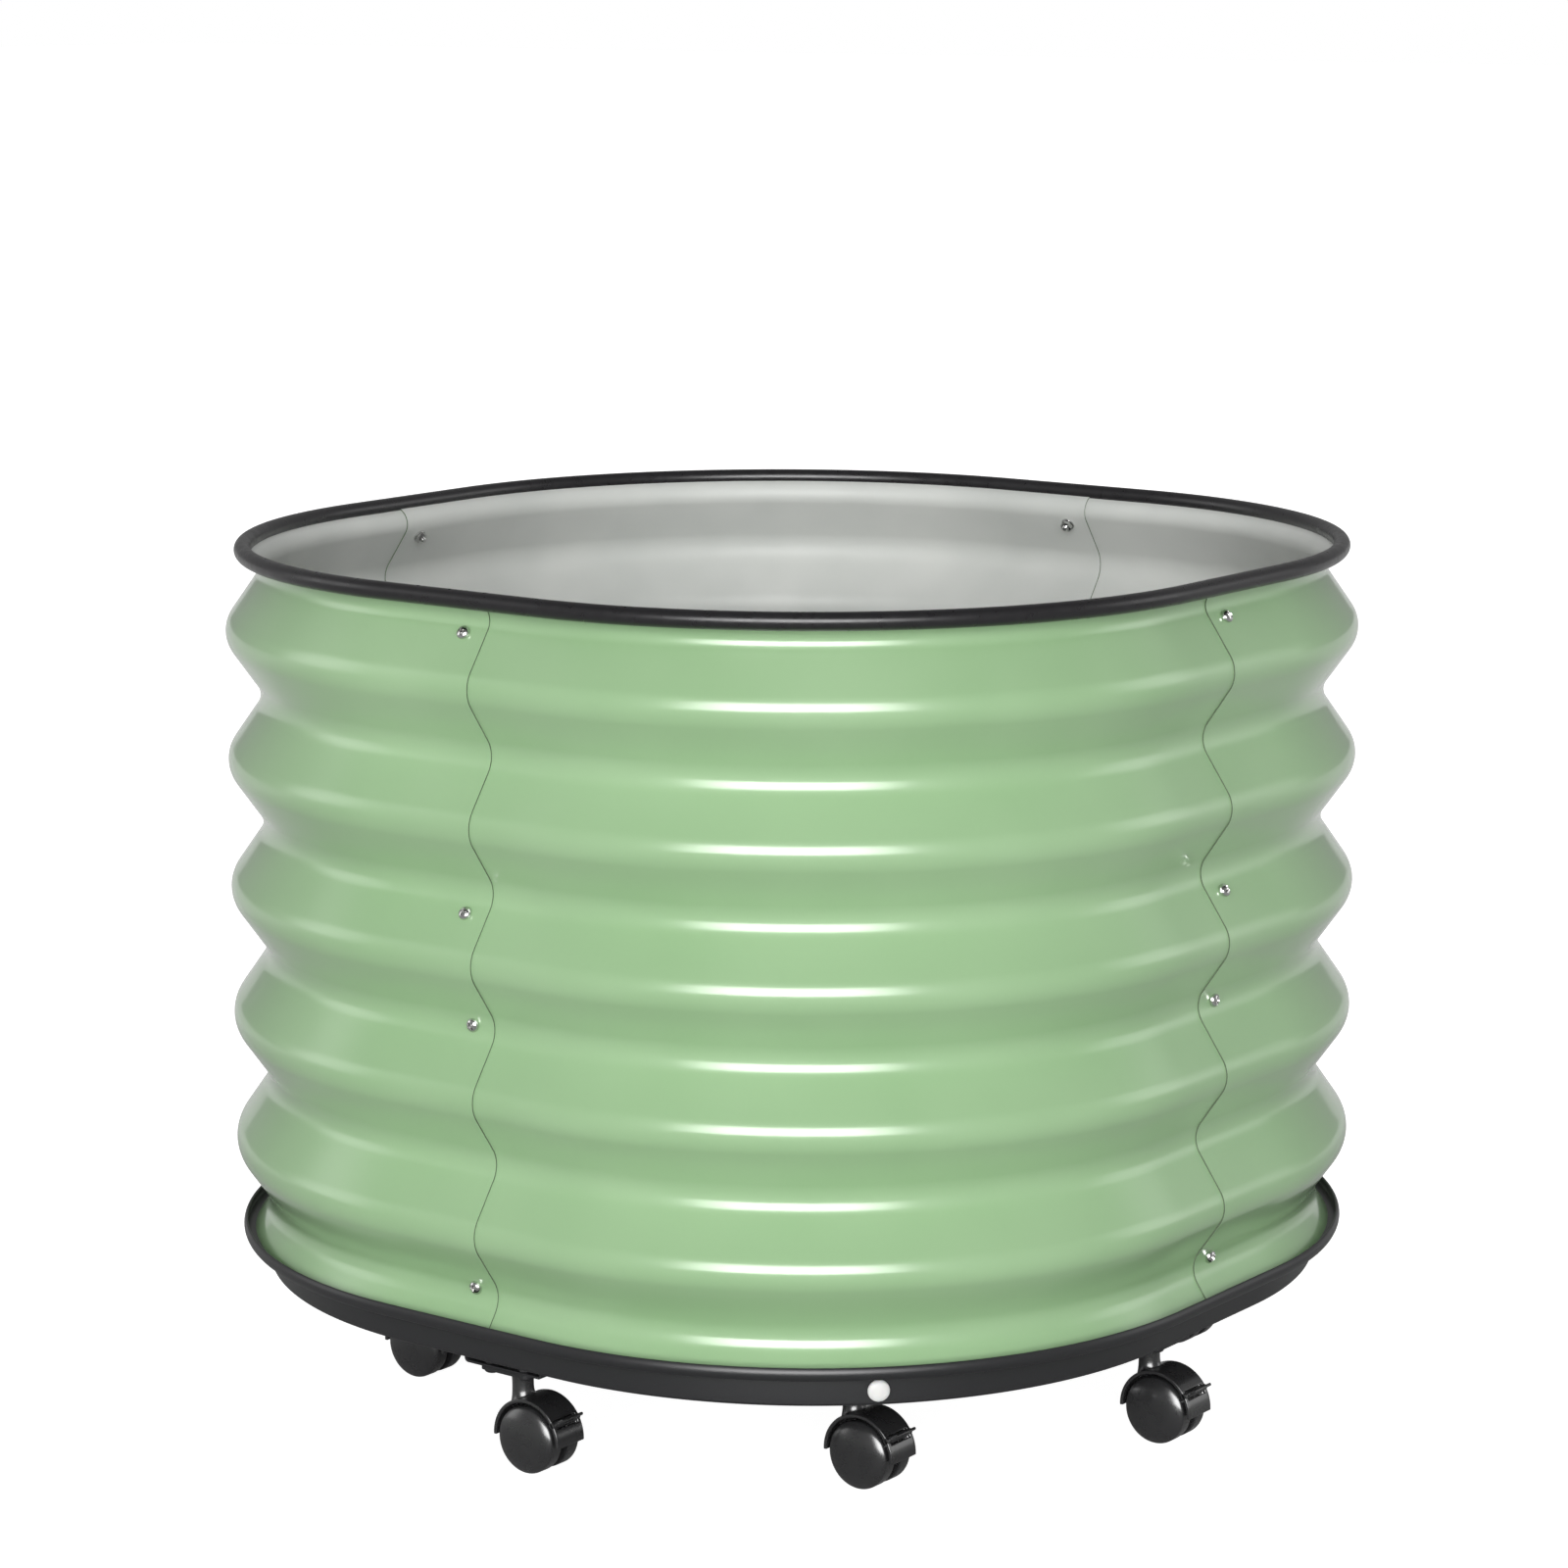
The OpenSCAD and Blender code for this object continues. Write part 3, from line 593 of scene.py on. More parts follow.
def carved(piece, cutter, operation="DIFFERENCE"):
    """Cuts a piece with another, or keeps what both share; the cutter is dropped."""
    modifier = piece.modifiers.new("carve", "BOOLEAN")
    modifier.object = cutter
    modifier.operation = operation
    modifier.solver = "EXACT"
    made = baked(piece, piece.name)
    drop(cutter)
    return made


def softened(piece, width, steps=2):
    """Rounds every edge that is sharper than a smooth bend."""
    modifier = piece.modifiers.new("edges", "BEVEL")
    modifier.width = width
    modifier.segments = steps
    modifier.limit_method = "ANGLE"
    modifier.angle_limit = math.radians(40)
    return baked(piece, piece.name, 50)


def joined(name, *pieces):
    """Puts several closed shells in one mesh."""
    work = bmesh.new()
    for piece in pieces:
        work.from_mesh(piece.data)
    drop(*pieces)
    return finished(name, work)


def moved(piece, matrix):
    """Moves a piece's mesh; the object itself stays at the origin."""
    piece.data.transform(matrix)
    piece.data.update()
    return piece


# ------------------------------------------------ fasteners

def set_on_points_tree():
    """Sets a copy of a piece on each point, turned by the point's own turn."""
    tree = bpy.data.node_groups.new("set_on_points", "GeometryNodeTree")
    face = tree.interface
    face.new_socket("Points", in_out="INPUT", socket_type="NodeSocketGeometry")
    face.new_socket("Piece", in_out="INPUT", socket_type="NodeSocketObject")
    face.new_socket("Finish", in_out="INPUT", socket_type="NodeSocketMaterial")
    face.new_socket("Set", in_out="OUTPUT", socket_type="NodeSocketGeometry")
    inputs = add(tree, "NodeGroupInput").outputs
    piece = add(tree, "GeometryNodeObjectInfo", {"Object": inputs["Piece"]})
    turns = add(tree, "GeometryNodeInputNamedAttribute", {"Name": "turn"}, data_type="FLOAT_VECTOR")
    rotation = add(tree, "FunctionNodeEulerToRotation", {"Euler": turns.outputs["Attribute"]})
    copies = add(tree, "GeometryNodeInstanceOnPoints", {
        "Points": inputs["Points"],
        "Instance": piece.outputs["Geometry"],
        "Rotation": rotation.outputs["Rotation"]})
    solid = add(tree, "GeometryNodeRealizeInstances", {"Geometry": copies.outputs["Instances"]})
    coated = add(tree, "GeometryNodeSetMaterial", {
        "Geometry": solid.outputs["Geometry"], "Material": inputs["Finish"]})
    add(tree, "NodeGroupOutput", {"Set": coated.outputs["Geometry"]})
    return tree


SET_ON = set_on_points_tree()


def set_on(name, piece, places, finish):
    """One mesh with a copy of the piece at each place, a matrix; the piece itself is dropped."""
    points = mesh_from(name, [m.translation for m in places], [])
    turns = points.attributes.new("turn", "FLOAT_VECTOR", "POINT")
    turns.data.foreach_set("vector", [v for m in places for v in m.to_euler()])
    holder = new_object(name, points)
    modifier = holder.modifiers.new("set", "NODES")
    modifier.node_group = SET_ON
    set_input(modifier, "Piece", piece)
    set_input(modifier, "Finish", finish)
    made = baked(holder, name)
    drop(piece)
    return made


def frame_at(point, x_axis, roll=0.0):
    """A matrix that sets a piece's X along x_axis at a point, rolled about that axis."""
    x = Vector(x_axis).normalized()
    side = Vector((0, 0, 1)) if abs(x.z) < 0.9 else Vector((0, 1, 0))
    y = side.cross(x).normalized()
    z = x.cross(y)
    turn_to = Matrix((x, y, z)).transposed().to_4x4()
    return Matrix.Translation(point) @ turn_to @ Matrix.Rotation(roll, 4, "X")


GOLDEN_TURN = math.radians(137.5)
THREAD_PITCH = 0.7 * MM
THREAD_PLAY = 0.04 * MM


def cross_recess(reach, arm, top, bottom):
    """The tapered cutter of a cross recess, along X from its bottom to above the head."""
    rings = []
    for along, scale in ((bottom, 0.55), (top, 1.15)):
        far, near = reach * scale, arm * scale
        quarter = [(far, -near), (far, near), (near, near)]
        cross = [Matrix.Rotation(k * math.pi / 2, 2) @ Vector(c) for k in range(4) for c in quarter]
        rings.append([(along, c.x, c.y) for c in cross])
    return lofted("recess", rings)


def shank(d, seat, length):
    """The profile of a threaded shank along X, from its chamfered end up to the seat."""
    r = d / 2
    end = seat - length
    profile = [(end, 0), (end, 0.7 * r), (end + 0.3 * r, r)]
    turns = int(0.6 * length / THREAD_PITCH)
    for i in range(turns):
        at = end + 0.3 * r + i * THREAD_PITCH
        profile += [(at + 0.15 * THREAD_PITCH, r), (at + 0.6 * THREAD_PITCH, 0.86 * r)]
    return profile + [(end + 0.3 * r + turns * THREAD_PITCH, r), (seat, r)]


def screw(name, d, head_d, head_h, length, seat=0.0):
    """A round-headed screw along X: head above the seat, threaded shank below it."""
    head_r = head_d / 2
    rim = 0.3 * head_h
    profile = shank(d, seat, length)
    profile += [(seat, head_r - 0.2 * rim), (seat + 0.2 * rim, head_r)]
    profile += [(seat + rim + (head_h - rim) * math.sin(a), head_r * math.cos(a))
                for a in (math.pi / 2 * i / 12 for i in range(12))]
    profile.append((seat + head_h, 0))
    body = turned(name, profile)
    cut_top = seat + head_h + 0.2 * MM
    return carved(body, cross_recess(0.62 * head_r, 0.14 * head_r, cut_top, seat + 0.35 * head_h))


def hex_nut(name, bore_d, across, height):
    """A nut along X from 0 to its height, with chamfered corners and bore."""
    corner_r = across / math.sqrt(3)
    chamfer = corner_r - across / 2
    prism = turned(name, [(0, 0), (0, corner_r), (height, corner_r), (height, 0)], 6)
    barrel = turned("barrel", [
        (-chamfer, 0), (0, across / 2), (0.5 * chamfer, corner_r + 0.01 * MM),
        (height - 0.5 * chamfer, corner_r + 0.01 * MM), (height, across / 2),
        (height + chamfer, 0)], 60)
    nut = carved(prism, barrel, "INTERSECT")
    r = bore_d / 2
    lead = 0.4 * MM
    mouth = r + lead + CUT_PAST
    bore = turned("bore", [
        (-CUT_PAST, 0), (-CUT_PAST, mouth), (lead, r), (height - lead, r),
        (height + CUT_PAST, mouth), (height + CUT_PAST, 0)])
    return carved(nut, bore)


def washer(name, bore_d, d, low, high):
    """A flat washer along X from low to high, with broken edges."""
    edge = 0.15 * MM
    r, bore = d / 2, bore_d / 2
    return turned(name, [
        (low, bore), (low, r - edge), (low + edge, r), (high - edge, r), (high, r - edge),
        (high, bore)], ring=True)


# ------------------------------------------------ seams

def seam_place(z):
    """Where a seam bolt stands on the wave: its distance out, and its lean above level."""
    high = z > HIGH_CREST_Z
    low_valley = LOW_CREST_Z - WAVE_PITCH / 2
    valley_z = RIM_BEND_Z if high else low_valley + WAVE_PITCH * round((z - low_valley) / WAVE_PITCH)
    bend_r = RIM_BEND_R if high else WAVE_BEND_R
    limit = math.sin(FLANK_LEAN)
    lean = -math.asin(max(-limit, min(limit, (z - valley_z) / bend_r)))
    past = max(0.0, abs(z - valley_z) - bend_r * limit) * math.tan(FLANK_LEAN)
    return CORNER_C + VALLEY_X + bend_r * (1 - math.cos(lean)) + past, lean


def seam_fasteners():
    """A bolt, a washer and a nut at every level of every seam, square to the sheet."""
    places = []
    for quarter in range(4):
        for z in BOLT_LEVELS:
            out, lean = seam_place(z)
            point = turn((out, 0, z), quarter)
            axis = turn((math.cos(lean), 0, math.sin(lean)), quarter)
            places.append(frame_at(point, axis, GOLDEN_TURN * len(places)))
    outer_face = SHEET_T / 2 + LAP_STEP
    hollow_r = WAVE_BEND_R - LAP_STEP - SHEET_T / 2
    seat = outer_face + hollow_r - math.sqrt(hollow_r ** 2 - BOLT_HEAD_D ** 2 / 4)
    washer_out = -SHEET_T / 2 - 0.1 * MM
    washer_in = washer_out - 1 * MM
    nut_h = 3.2 * MM
    tail = 1.6 * MM
    length = seat - (washer_in - nut_h - tail)
    bolts = set_on("seam_bolt_heads", screw("bolt", BOLT_D, BOLT_HEAD_D, BOLT_HEAD_H, length, seat),
                   places, NICKEL)
    keep(bolts, "planter", "bright_steel", "seam_bolts")
    washers = set_on("seam_flat_washers",
                     washer("washer", BOLT_D + 0.4 * MM, 2.2 * BOLT_D, washer_in, washer_out),
                     places, NICKEL)
    keep(washers, "planter", "bright_steel", "seam_washers")
    nut = moved(hex_nut("nut", BOLT_D + THREAD_PLAY, 1.75 * BOLT_D, nut_h),
                Matrix.Translation((washer_in - nut_h, 0, 0)))
    keep(set_on("seam_hex_nuts", nut, places, NICKEL), "planter", "bright_steel", "seam_nuts")


# ------------------------------------------------ caster mounts

BRACKET_W = 58 * MM
BRACKET_LEN = 36 * MM
BRACKET_T = 1.5 * MM
FLANGE_W = 14 * MM
BRACKET_BEND_R = 2 * MM
FLANGE_HOLE_Y = BRACKET_W / 2 + FLANGE_W / 2
PLATE_T = 2 * MM
PLATE_HOLE = 12.5 * MM
SCREW_D = 5 * MM
SCREW_HOLE_D = 5.4 * MM
KINGPIN_HOLE_D = 13.5 * MM
FLANGE_SPOTS = [(0, y) for y in (-FLANGE_HOLE_Y, FLANGE_HOLE_Y)]
PLATE_SPOTS = [(x, y) for x in (-PLATE_HOLE, PLATE_HOLE) for y in (-PLATE_HOLE, PLATE_HOLE)]


def caster_place(i):
    """A swivel axis, as its point on the floor and its angle in the plan."""
    angle = math.radians(-45 + 360 / CASTERS * i)
    reach = CORNER_CASTER_REACH if i % 2 == 0 else SIDE_CASTER_REACH
    return Vector((reach * math.cos(angle), reach * math.sin(angle), 0)), angle


def mount_frames():
    """A matrix for each caster's mount, turned outwards."""
    for i in range(CASTERS):
        point, angle = caster_place(i)
        yield Matrix.Translation(point) @ Matrix.Rotation(angle, 4, "Z")


def bracket_outline():
    """The channel's section: flanges, webs and base of one sheet with rounded bends."""
    web_y = BRACKET_W / 2 - BRACKET_T / 2
    top_z = TRAY_Z - BRACKET_T / 2
    base_z = CASTER_H + BRACKET_T / 2
    end_y = BRACKET_W / 2 + FLANGE_W + BRACKET_T / 2
    r = BRACKET_BEND_R

    def half(out):
        """The +Y half of the sheet's middle line, moved out."""
        low = bend((web_y - r, base_z + r), r + out, -math.pi / 2, 0, 8)
        high = bend((web_y + r, top_z - r), r - out, math.pi, math.pi / 2, 8)
        return [*low, *high, (end_y, top_z - out)]

    outer = half(BRACKET_T / 2)
    inner = half(-BRACKET_T / 2)
    return [*((-y, z) for y, z in outer[::-1]), *outer, *inner[::-1], *((-y, z) for y, z in inner)]


def caster_brackets():
    """The bent channels under the tray, drilled for the studs, the screws and the kingpin."""
    section = bracket_outline()
    half = BRACKET_LEN / 2
    body = sweep("bracket", [(-half, 0, 0), (half, 0, 0)], False, section, POWDER_COAT)
    low = CASTER_H - CUT_PAST
    over_base = CASTER_H + 4 * MM
    drills = []
    for spots, d, high in (
            (FLANGE_SPOTS, SCREW_HOLE_D, TRAY_Z + CUT_PAST),
            (PLATE_SPOTS, SCREW_HOLE_D, over_base),
            ([(0, 0)], KINGPIN_HOLE_D, over_base)):
        for x, y in spots:
            r = d / 2
            drill = turned("drill", [(low, 0), (low, r), (high, r), (high, 0)], 32)
            drills.append(moved(drill, frame_at((x, y, 0), (0, 0, 1))))
    body = softened(carved(body, joined("drills", *drills)), 0.3 * MM)
    keep(set_on("bracket_channels", body, list(mount_frames()), POWDER_COAT),
         "planter", "black_paint", "caster_brackets")


def mount_fasteners():
    """The studs and nuts that hold the brackets, and the screws and nuts of the caster plates."""
    up, down = (0, 0, 1), (0, 0, -1)

    def places(spots, z, axis):
        """The same spots on every mount."""
        return [mount @ frame_at((x, y, z), axis, GOLDEN_TURN * (i + j))
                for i, mount in enumerate(mount_frames()) for j, (x, y) in enumerate(spots)]

    head_d, head_h, nut_h, tail = 1.8 * SCREW_D, 0.55 * SCREW_D, 0.8 * SCREW_D, 2 * MM
    across = 1.6 * SCREW_D
    bore = SCREW_D + THREAD_PLAY
    heads = screw("screw", SCREW_D, head_d, head_h, PLATE_T + BRACKET_T + nut_h + tail)
    at_plates = places(PLATE_SPOTS, CASTER_H - PLATE_T, down)
    keep(set_on("plate_screw_heads", heads, at_plates, POWDER_COAT),
         "planter", "black_paint", "plate_screws")
    studs = turned("stud", shank(SCREW_D, 0.0, BRACKET_T + nut_h + tail) + [(0.0, 0)])
    keep(set_on("welded_studs", studs, places(FLANGE_SPOTS, TRAY_Z, up), POWDER_COAT),
         "planter", "black_paint", "bracket_studs")
    for name, spots, z in (
            ("bracket_nuts", FLANGE_SPOTS, TRAY_Z - BRACKET_T - nut_h),
            ("plate_nuts", PLATE_SPOTS, CASTER_H + BRACKET_T)):
        made = hex_nut("nut", bore, across, nut_h)
        keep(set_on(name + "_hex", made, places(spots, z, up), POWDER_COAT),
             "planter", "black_paint", name)


# ------------------------------------------------ casters

AXLE = Vector((CASTER_TRAIL, 0, WHEEL_R))
PIVOT_R = HOOD_IN_R + HOOD_T / 2
PIVOT = AXLE + PIVOT_R * Vector((math.cos(PEDAL_ANGLE), 0, math.sin(PEDAL_ANGLE)))
HOOD_STEPS = 72
WINDOW_Y = PEDAL_W / 2 + 0.4 * MM
WINDOW_BELOW = math.asin(3.1 * MM / PIVOT_R)
WINDOW_ABOVE = math.asin(2.3 * MM / PIVOT_R)


def hood_band():
    """The hood's wall over the wheels, with the pedal's window, about the axle."""
    skirt = math.asin(HOOD_SKIRT / PIVOT_R)
    window = (PEDAL_ANGLE - WINDOW_BELOW, PEDAL_ANGLE + WINDOW_ABOVE)
    spans = ((-skirt, window[0], 10), (*window, 8), (window[1], math.pi + skirt, HOOD_STEPS))
    angles = [a + (b - a) * i / n for a, b, n in spans for i in range(n)] + [math.pi + skirt]
    ys = (-HOOD_W / 2, -WINDOW_Y, WINDOW_Y, HOOD_W / 2)
    work = bmesh.new()
    grid = [[[work.verts.new((r * math.cos(a), y, r * math.sin(a))) for y in ys]
             for a in angles] for r in (HOOD_IN_R, HOOD_IN_R + HOOD_T)]
    last = len(angles) - 1

    def in_window(i, j):
        """Says whether a patch of the band is left open for the pedal."""
        return j == 1 and window[0] - 1e-6 < angles[i] < window[1] - 1e-6

    for i in range(last):
        for j in range(3):
            if in_window(i, j):
                continue
            for layer in grid:
                work.faces.new((layer[i][j], layer[i + 1][j], layer[i + 1][j + 1], layer[i][j + 1]))

    def wall(a, b):
        """Joins the band's two layers between two of its points."""
        (i, j), (k, m) = a, b
        work.faces.new((grid[0][i][j], grid[0][k][m], grid[1][k][m], grid[1][i][j]))

    for i in range(last):
        for j in (0, 3):
            wall((i, j), (i + 1, j))
        if in_window(i, 1):
            for j in (1, 2):
                wall((i, j), (i + 1, j))
    for i in (0, last):
        for j in range(3):
            wall((i, j), (i, j + 1))
    for edge in window:
        i = min(range(len(angles)), key=lambda k: abs(angles[k] - edge))
        wall((i, 1), (i, 2))
    return softened(finished("hood", work), 0.6 * MM, 3)


def web_plate():
    """The plate between the wheels: a half disc with a boss round the axle and a notch."""
    r = PIVOT_R
    boss_r = AXLE_D / 2 + 5 * MM
    notch_in = r - 4.1 * MM
    low_edge, high_edge = PEDAL_ANGLE - WINDOW_BELOW, PEDAL_ANGLE + WINDOW_ABOVE

    def at(along, across):
        """A point beside the line from the axle to the pedal's pivot."""
        c, s = math.cos(PEDAL_ANGLE), math.sin(PEDAL_ANGLE)
        return (c * along - s * across, s * along + c * across)

    skirt = math.asin(HOOD_SKIRT / r)
    boss = math.asin(HOOD_SKIRT / boss_r)
    outline = bend((0, 0), r, -skirt, low_edge, 6)
    outline += [at(notch_in, -4.5 * MM), at(notch_in, 3.2 * MM)]
    outline += bend((0, 0), r, high_edge, math.pi + skirt, 48)
    outline += bend((0, 0), boss_r, math.pi + boss, 2 * math.pi - boss, 20)
    return softened(extruded("web", outline, -WEB_T / 2, WEB_T / 2), 0.3 * MM)


def neck():
    """The neck: it stands on the hood's curve and flares at both ends."""
    steps, levels = 48, 14
    foot_flare, top_flare = 1.6 * MM, 1.3 * MM
    rings = []
    for k in range(levels + 1):
        share = k / levels
        r = NECK_D / 2 + (foot_flare * (1 - share) ** 6 + top_flare * share ** 8)
        ring = []
        for i in range(steps):
            a = 2 * math.pi * i / steps
            x, y = r * math.cos(a), r * math.sin(a)
            across = min(abs(x - CASTER_TRAIL), PIVOT_R - 0.2 * MM)
            foot = WHEEL_R + math.sqrt(PIVOT_R ** 2 - across ** 2)
            ring.append((x, y, foot + (NECK_TOP_Z - foot) * share))
        rings.append(ring)
    return lofted("neck", rings)


def pivot_boss(low, high):
    """One ear of the pedal's pivot, kept clear of the wheels inside the hood."""
    r, steps = 1.9 * MM, 36
    inmost = HOOD_IN_R - 0.6 * MM
    centre = PIVOT - AXLE
    outline = []
    for i in range(steps):
        a = 2 * math.pi * i / steps
        point = Vector((centre.x + r * math.cos(a), centre.z + r * math.sin(a)))
        if point.length < inmost:
            point = point * (inmost / point.length)
        outline.append((point.x, point.y))
    return softened(extruded("boss", outline, low, high), 0.3 * MM)


def caster_body():
    """The moulding that swivels: hood, web, neck and the two ears of the pedal's pivot."""
    ears = [pivot_boss(-HOOD_W / 2, -WINDOW_Y), pivot_boss(WINDOW_Y, HOOD_W / 2)]
    shells = [hood_band(), web_plate(), *ears]
    for shell in shells:
        moved(shell, Matrix.Translation(AXLE))
    return joined("caster_body", *shells, neck())


def wheel():
    """One wheel, on the +Y side: a rounded tread and a domed face with a soft rim."""
    bore = AXLE_D / 2 + 0.05 * MM
    bore_end = WHEEL_OUT_Y - 3.45 * MM
    edge = 0.9 * MM
    profile = [(bore_end, 0), (bore_end, bore), (WHEEL_IN_Y, bore)]
    profile += bend((WHEEL_IN_Y + edge, WHEEL_R - edge), edge, math.pi, math.pi / 2, 6)
    profile += [(WHEEL_RIM_Y + (WHEEL_OUT_Y - WHEEL_RIM_Y) * math.sin(a), WHEEL_R * math.cos(a))
                for a in (math.pi / 2 * i / 24 for i in range(24))]
    profile.append((WHEEL_OUT_Y, 0))
    body = turned("wheel", profile, 96)
    return moved(body, Matrix.Translation(AXLE) @ Matrix.Rotation(math.pi / 2, 4, "Z"))


def brake_pedal():
    """The pedal: a plate with a round nose, its hub, its shoe, and the pivot pin."""
    hub_r = PIVOT_D / 2 + 1.1 * MM
    half = PEDAL_T / 2
    nose = 0.9 * MM
    shoe = math.radians(235)
    shoe_half, shoe_len = 0.55 * MM, 2.8 * MM
    root = math.asin(half / hub_r)
    side = math.asin(shoe_half / hub_r)
    along = Vector((math.cos(shoe), math.sin(shoe)))
    across = Vector((-along.y, along.x))
    outline = bend((0, 0), hub_r, root, shoe - side, 14)
    outline += [tuple(shoe_len * along + edge * across) for edge in (-shoe_half, shoe_half)]
    outline += bend((0, 0), hub_r, shoe + side, 2 * math.pi - root, 8)
    outline += bend((PEDAL_REACH - nose, 0), nose, -math.pi / 2, math.pi / 2, 8)
    plate = softened(extruded("pedal", outline, -PEDAL_W / 2, PEDAL_W / 2), 0.3 * MM)
    pin_half = PEDAL_W / 2 + 1.5 * MM
    pin_r, chamfer = PIVOT_D / 2, 0.3 * MM
    pin = turned("pin", [
        (-pin_half, 0), (-pin_half, pin_r - chamfer), (chamfer - pin_half, pin_r),
        (pin_half - chamfer, pin_r), (pin_half, pin_r - chamfer), (pin_half, 0)], 24)
    moved(pin, Matrix.Rotation(math.pi / 2, 4, "Z"))
    body = joined("pedal", plate, pin)
    return moved(body, Matrix.Translation(PIVOT) @ Matrix.Rotation(-PEDAL_ANGLE, 4, "Y"))


def casters():
    """The eight casters: body, two wheels and brake, each mesh a copy of one pattern."""
    far = wheel()
    near = new_object("wheel_near", far.data.copy())
    near.data.transform(Matrix.Scale(-1, 4, (0, 1, 0)))
    outward(near.data)
    kinds = (
        ("moulded_body", caster_body(), "swivel", "housing"),
        ("wheel_disc_near", near, "wheel_near", "wheel_near"),
        ("wheel_disc_far", far, "wheel_far", "wheel_far"),
        ("brake_lever", brake_pedal(), "brake", "brake"))
    for i in range(CASTERS):
        point, _ = caster_place(i)
        first = f"caster_{i + 1}_"
        for name, pattern, body, node in kinds:
            mesh = pattern.data.copy()
            mesh.transform(Matrix.Translation(point))
            mesh.materials.clear()
            mesh.materials.append(NYLON)
            keep(new_object(first + name, mesh), first + body, "black_plastic", first + node)
    drop(*(pattern for _, pattern, _, _ in kinds))


# ------------------------------------------------ drain plug

PLUG_REACH = CORNER_C * math.sqrt(2) + TRAY_WALL_X
PLUG_Z = TRAY_Z + 9.2 * MM


def drain_plug():
    """The white plug on the diagonal of the front corner: a low domed head on a ribbed stem."""
    seat = 1.1 * MM
    head_r, head_t, rim_t, rim_edge = 6.25 * MM, 3 * MM, 0.9 * MM, 0.3 * MM
    stem_r, end, ribs = 3.5 * MM, -8.4 * MM, 5
    profile = [(end, 0), (end, stem_r - 0.8 * MM), (end + 0.8 * MM, stem_r - 0.1 * MM)]
    for i in range(ribs):
        rib = end + (1.4 + i) * MM
        profile += [(rib, stem_r), (rib + 0.6 * MM, stem_r - 0.35 * MM)]
    profile += [(seat - 3.4 * MM, stem_r), (seat, stem_r), (seat, head_r - rim_edge)]
    profile += bend((seat + rim_edge, head_r - rim_edge), rim_edge, math.pi, math.pi / 2, 3)
    profile += [(seat + rim_t + (head_t - rim_t) * math.sin(a), head_r * math.cos(a))
                for a in (math.pi / 2 * i / 16 for i in range(16))]
    profile.append((seat + head_t, 0))
    plug = turned("plug_button", profile, 64)
    plug.data.materials.append(POLYTHENE)
    diagonal = Vector((1, -1, 0)).normalized()
    moved(plug, frame_at(diagonal * PLUG_REACH + Vector((0, 0, PLUG_Z)), diagonal))
    keep(plug, "plug", "white_plastic", "drain_plug")


def carried_over():
    """Finishes for the CAD pieces whose shape is kept as it is."""
    finishes = {"plug_gasket": RUBBER, "caster_plates": POWDER_COAT,
                "kingpins": NICKEL, "thrust_washers": NICKEL}
    finishes.update({f"caster_{i + 1}_axle": NICKEL for i in range(CASTERS)})
    for name, finish in finishes.items():
        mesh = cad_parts[name].data
        mesh.materials.clear()
        mesh.materials.append(finish)


# ------------------------------------------------ camera, light and stage

# The photograph's view, fitted to the rim, the wave crests and the tray
LENS_MM = 101.0
CAMERA_AZIMUTH = math.radians(36.73)
CAMERA_DISTANCE = 2.648
CAMERA_HEIGHT = 0.8605
CAMERA_PITCH = math.radians(10.655)
CAMERA_YAW = math.radians(0.133)


def camera():
    """The camera, at the photograph's place and angle."""
    data = bpy.data.cameras.new("camera")
    data.lens = LENS_MM
    data.sensor_width = 36.0
    data.clip_start = 0.01
    made = new_object("camera", data)
    made.location = (CAMERA_DISTANCE * math.sin(CAMERA_AZIMUTH),
                     -CAMERA_DISTANCE * math.cos(CAMERA_AZIMUTH), CAMERA_HEIGHT)
    made.rotation_euler = (math.pi / 2 - CAMERA_PITCH, 0, CAMERA_AZIMUTH + CAMERA_YAW)
    bpy.context.scene.camera = made


# Strengths of the studio's lights: on plain faces (LIGHT) and in reflections (GLEAM)
ROOM_LIGHT, ROOM_GLEAM, CEILING_GLEAM = 0.2, 0.3, 0.12
FRONT_LIGHT, FRONT_GLEAM = 5.8, 13.0
SIDE_LIGHT, SIDE_GLEAM = 0.4, 1.5
FAR_LIGHT, FAR_GLEAM = 1.0, 0.1
BOX_ELEVATION = 13.0


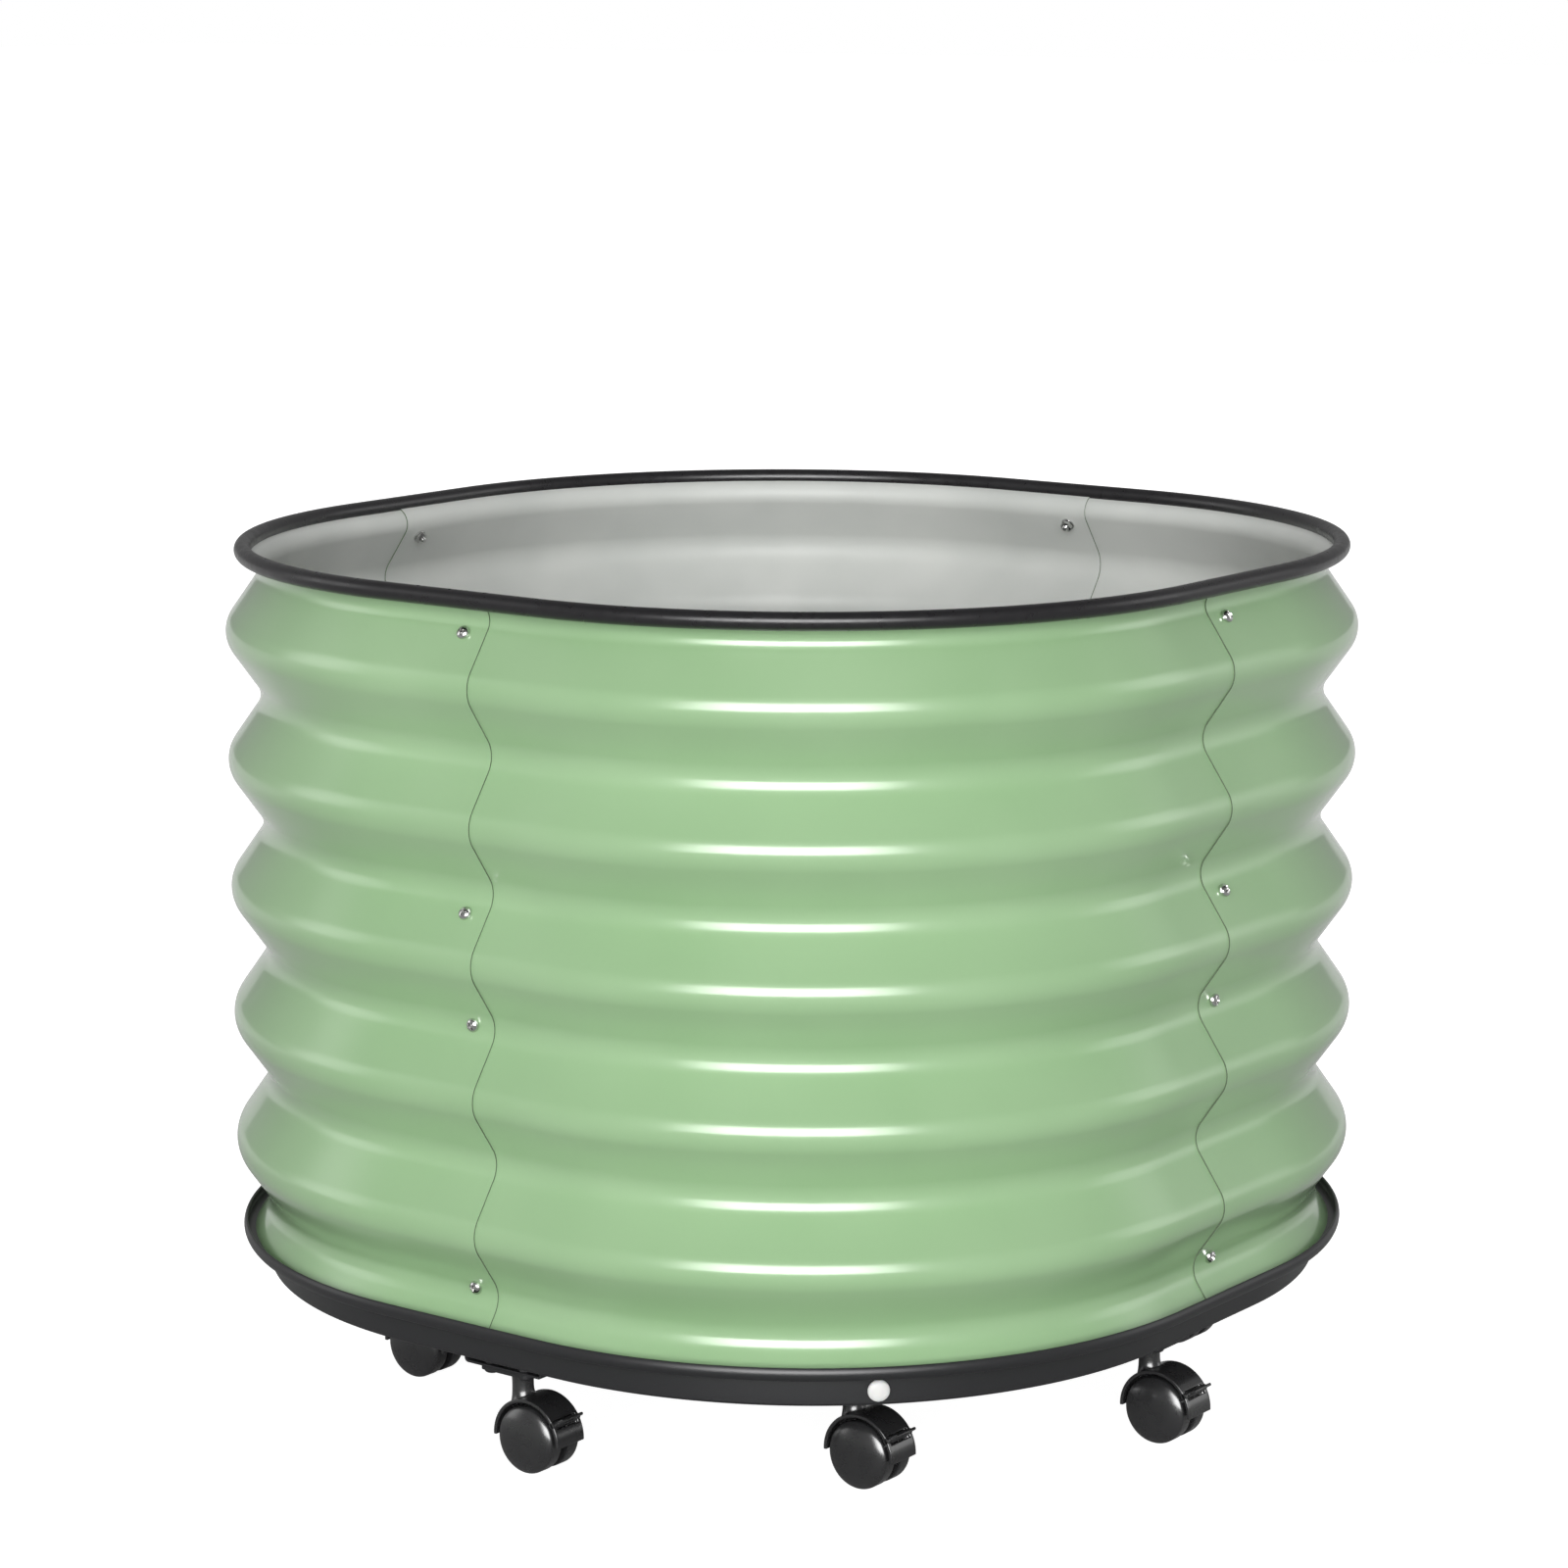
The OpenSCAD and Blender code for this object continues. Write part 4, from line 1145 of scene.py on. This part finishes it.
def studio():
    """White surroundings whose light is drawn by direction.

    Angles are in degrees: azimuth from the camera's side, to the right, and elevation. A
    wide softbox stands behind the camera, a low box on either side, and a dim fill beyond
    the object. Shiny faces see a dark room with a narrower, stronger box, as in a product
    photograph, and the camera sees plain white.
    """
    world = bpy.data.worlds.new("white_studio")
    bpy.context.scene.world = world
    world.use_nodes = True
    tree = world.node_tree
    tree.nodes.clear()
    ways = add(tree, "ShaderNodeTexCoord").outputs["Generated"]
    ahead = add(tree, "ShaderNodeVectorRotate", {"Vector": ways, "Angle": -CAMERA_AZIMUTH},
                rotation_type="Z_AXIS")
    parts = add(tree, "ShaderNodeSeparateXYZ", {"Vector": ahead.outputs["Vector"]}).outputs

    def maths(operation, *values):
        """The result of one Math node."""
        return add(tree, "ShaderNodeMath", dict(enumerate(values)), operation=operation).outputs[0]

    def ramp(value, start, end, low=0.0, high=1.0):
        """A smooth step from low to high between start and end."""
        return add(tree, "ShaderNodeMapRange", {
            "Value": value, "From Min": start, "From Max": end, "To Min": low, "To Max": high},
            interpolation_type="SMOOTHSTEP").outputs["Result"]

    def choice(factor, first, second):
        """The first value, or the second where the factor is one."""
        return add(tree, "ShaderNodeMix", {"Factor": factor, 2: first, 3: second},
                   data_type="FLOAT").outputs[0]

    azimuth = maths("DEGREES", maths("ARCTAN2", parts["X"], maths("MULTIPLY", parts["Y"], -1.0)))
    elevation = maths("DEGREES", maths("ARCSINE", parts["Z"]))
    off_axis = maths("ABSOLUTE", azimuth)

    def softbox(around, middle, half_w, edge_w, half_h, edge_h):
        """A box of light with soft edges, its middle at an azimuth."""
        across = maths("ABSOLUTE", maths("SUBTRACT", around, middle))
        up = maths("ABSOLUTE", maths("SUBTRACT", elevation, BOX_ELEVATION))
        return maths("MULTIPLY",
                     ramp(across, half_w - edge_w, half_w + edge_w, 1.0, 0.0),
                     ramp(up, half_h - edge_h, half_h + edge_h, 1.0, 0.0))

    front = softbox(azimuth, -3.0, 30.0, 12.0, 16.0, 5.0)
    window = softbox(azimuth, -5.0, 23.0, 12.0, 16.0, 5.0)
    sides = softbox(off_axis, 97.0, 13.0, 9.0, 14.0, 6.0)
    fill = maths("ADD", maths("MULTIPLY", sides, SIDE_LIGHT),
                 maths("MULTIPLY", ramp(off_axis, 120.0, 150.0), FAR_LIGHT))
    plain_light = maths("ADD", ROOM_LIGHT, maths("ADD", maths("MULTIPLY", front, FRONT_LIGHT), fill))
    overhead = ramp(elevation, 30.0, 60.0)
    room = maths("MAXIMUM", ramp(overhead, 0.0, 1.0, ROOM_GLEAM, CEILING_GLEAM),
                 maths("MULTIPLY", ramp(off_axis, 85.0, 125.0), FAR_GLEAM))
    boxes = maths("ADD", maths("MULTIPLY", window, FRONT_GLEAM), maths("MULTIPLY", sides, SIDE_GLEAM))
    rays = add(tree, "ShaderNodeLightPath").outputs
    lamp = choice(rays["Is Glossy Ray"], plain_light, maths("ADD", room, boxes))
    seen = maths("MAXIMUM", rays["Is Camera Ray"], rays["Is Transmission Ray"])
    light = add(tree, "ShaderNodeBackground", {
        "Color": (1, 1, 1, 1), "Strength": choice(seen, lamp, 1.0)})
    add(tree, "ShaderNodeOutputWorld", {"Surface": light.outputs["Background"]})


def floor():
    """A pale floor that reads as white, with the faintest shadow.

    In reflections it is dull in front of the object and paler beyond it, which draws pale
    edges on the flanks that turn away.
    """
    half = 30.0
    mesh = mesh_from("floor", [(-half, -half, 0), (half, -half, 0), (half, half, 0), (-half, half, 0)],
                     [(0, 1, 2, 3)])
    material = bpy.data.materials.new("pale_floor")
    material.use_nodes = True
    tree = material.node_tree
    tree.nodes.clear()
    matt = add(tree, "ShaderNodeBsdfDiffuse", {"Color": linear("#BDBDBD")}).outputs[0]
    glow = add(tree, "ShaderNodeEmission", {"Color": (1, 1, 1, 1), "Strength": 0.94}).outputs[0]
    white = add(tree, "ShaderNodeAddShader", {0: matt, 1: glow}).outputs[0]
    away = add(tree, "ShaderNodeVectorMath", {
        0: add(tree, "ShaderNodeTexCoord").outputs["Object"],
        1: (-math.sin(CAMERA_AZIMUTH), math.cos(CAMERA_AZIMUTH), 0)}, operation="DOT_PRODUCT")
    beyond = add(tree, "ShaderNodeMapRange", {
        "Value": away.outputs["Value"], "From Min": 0.2, "From Max": 1.0, "To Max": 0.3})
    rays = add(tree, "ShaderNodeLightPath").outputs
    mirrored = add(tree, "ShaderNodeMath", {
        0: rays["Is Glossy Ray"], 1: beyond.outputs["Result"]}, operation="MULTIPLY").outputs[0]
    share = add(tree, "ShaderNodeMath", {
        0: rays["Is Camera Ray"], 1: mirrored}, operation="MAXIMUM").outputs[0]
    shown = add(tree, "ShaderNodeMixShader", {0: share, 1: matt, 2: white})
    add(tree, "ShaderNodeOutputMaterial", {"Surface": shown.outputs[0]})
    mesh.materials.append(material)
    new_object("floor", mesh)


def colour_settings():
    """Standard view transform, so that white stays white."""
    bpy.context.scene.view_settings.view_transform = "Standard"


# ------------------------------------------------ build

camera()
studio()
floor()
colour_settings()
wall_panels()
rim_bead()
base_tray()
seam_fasteners()
caster_brackets()
mount_fasteners()
casters()
drain_plug()
carried_over()
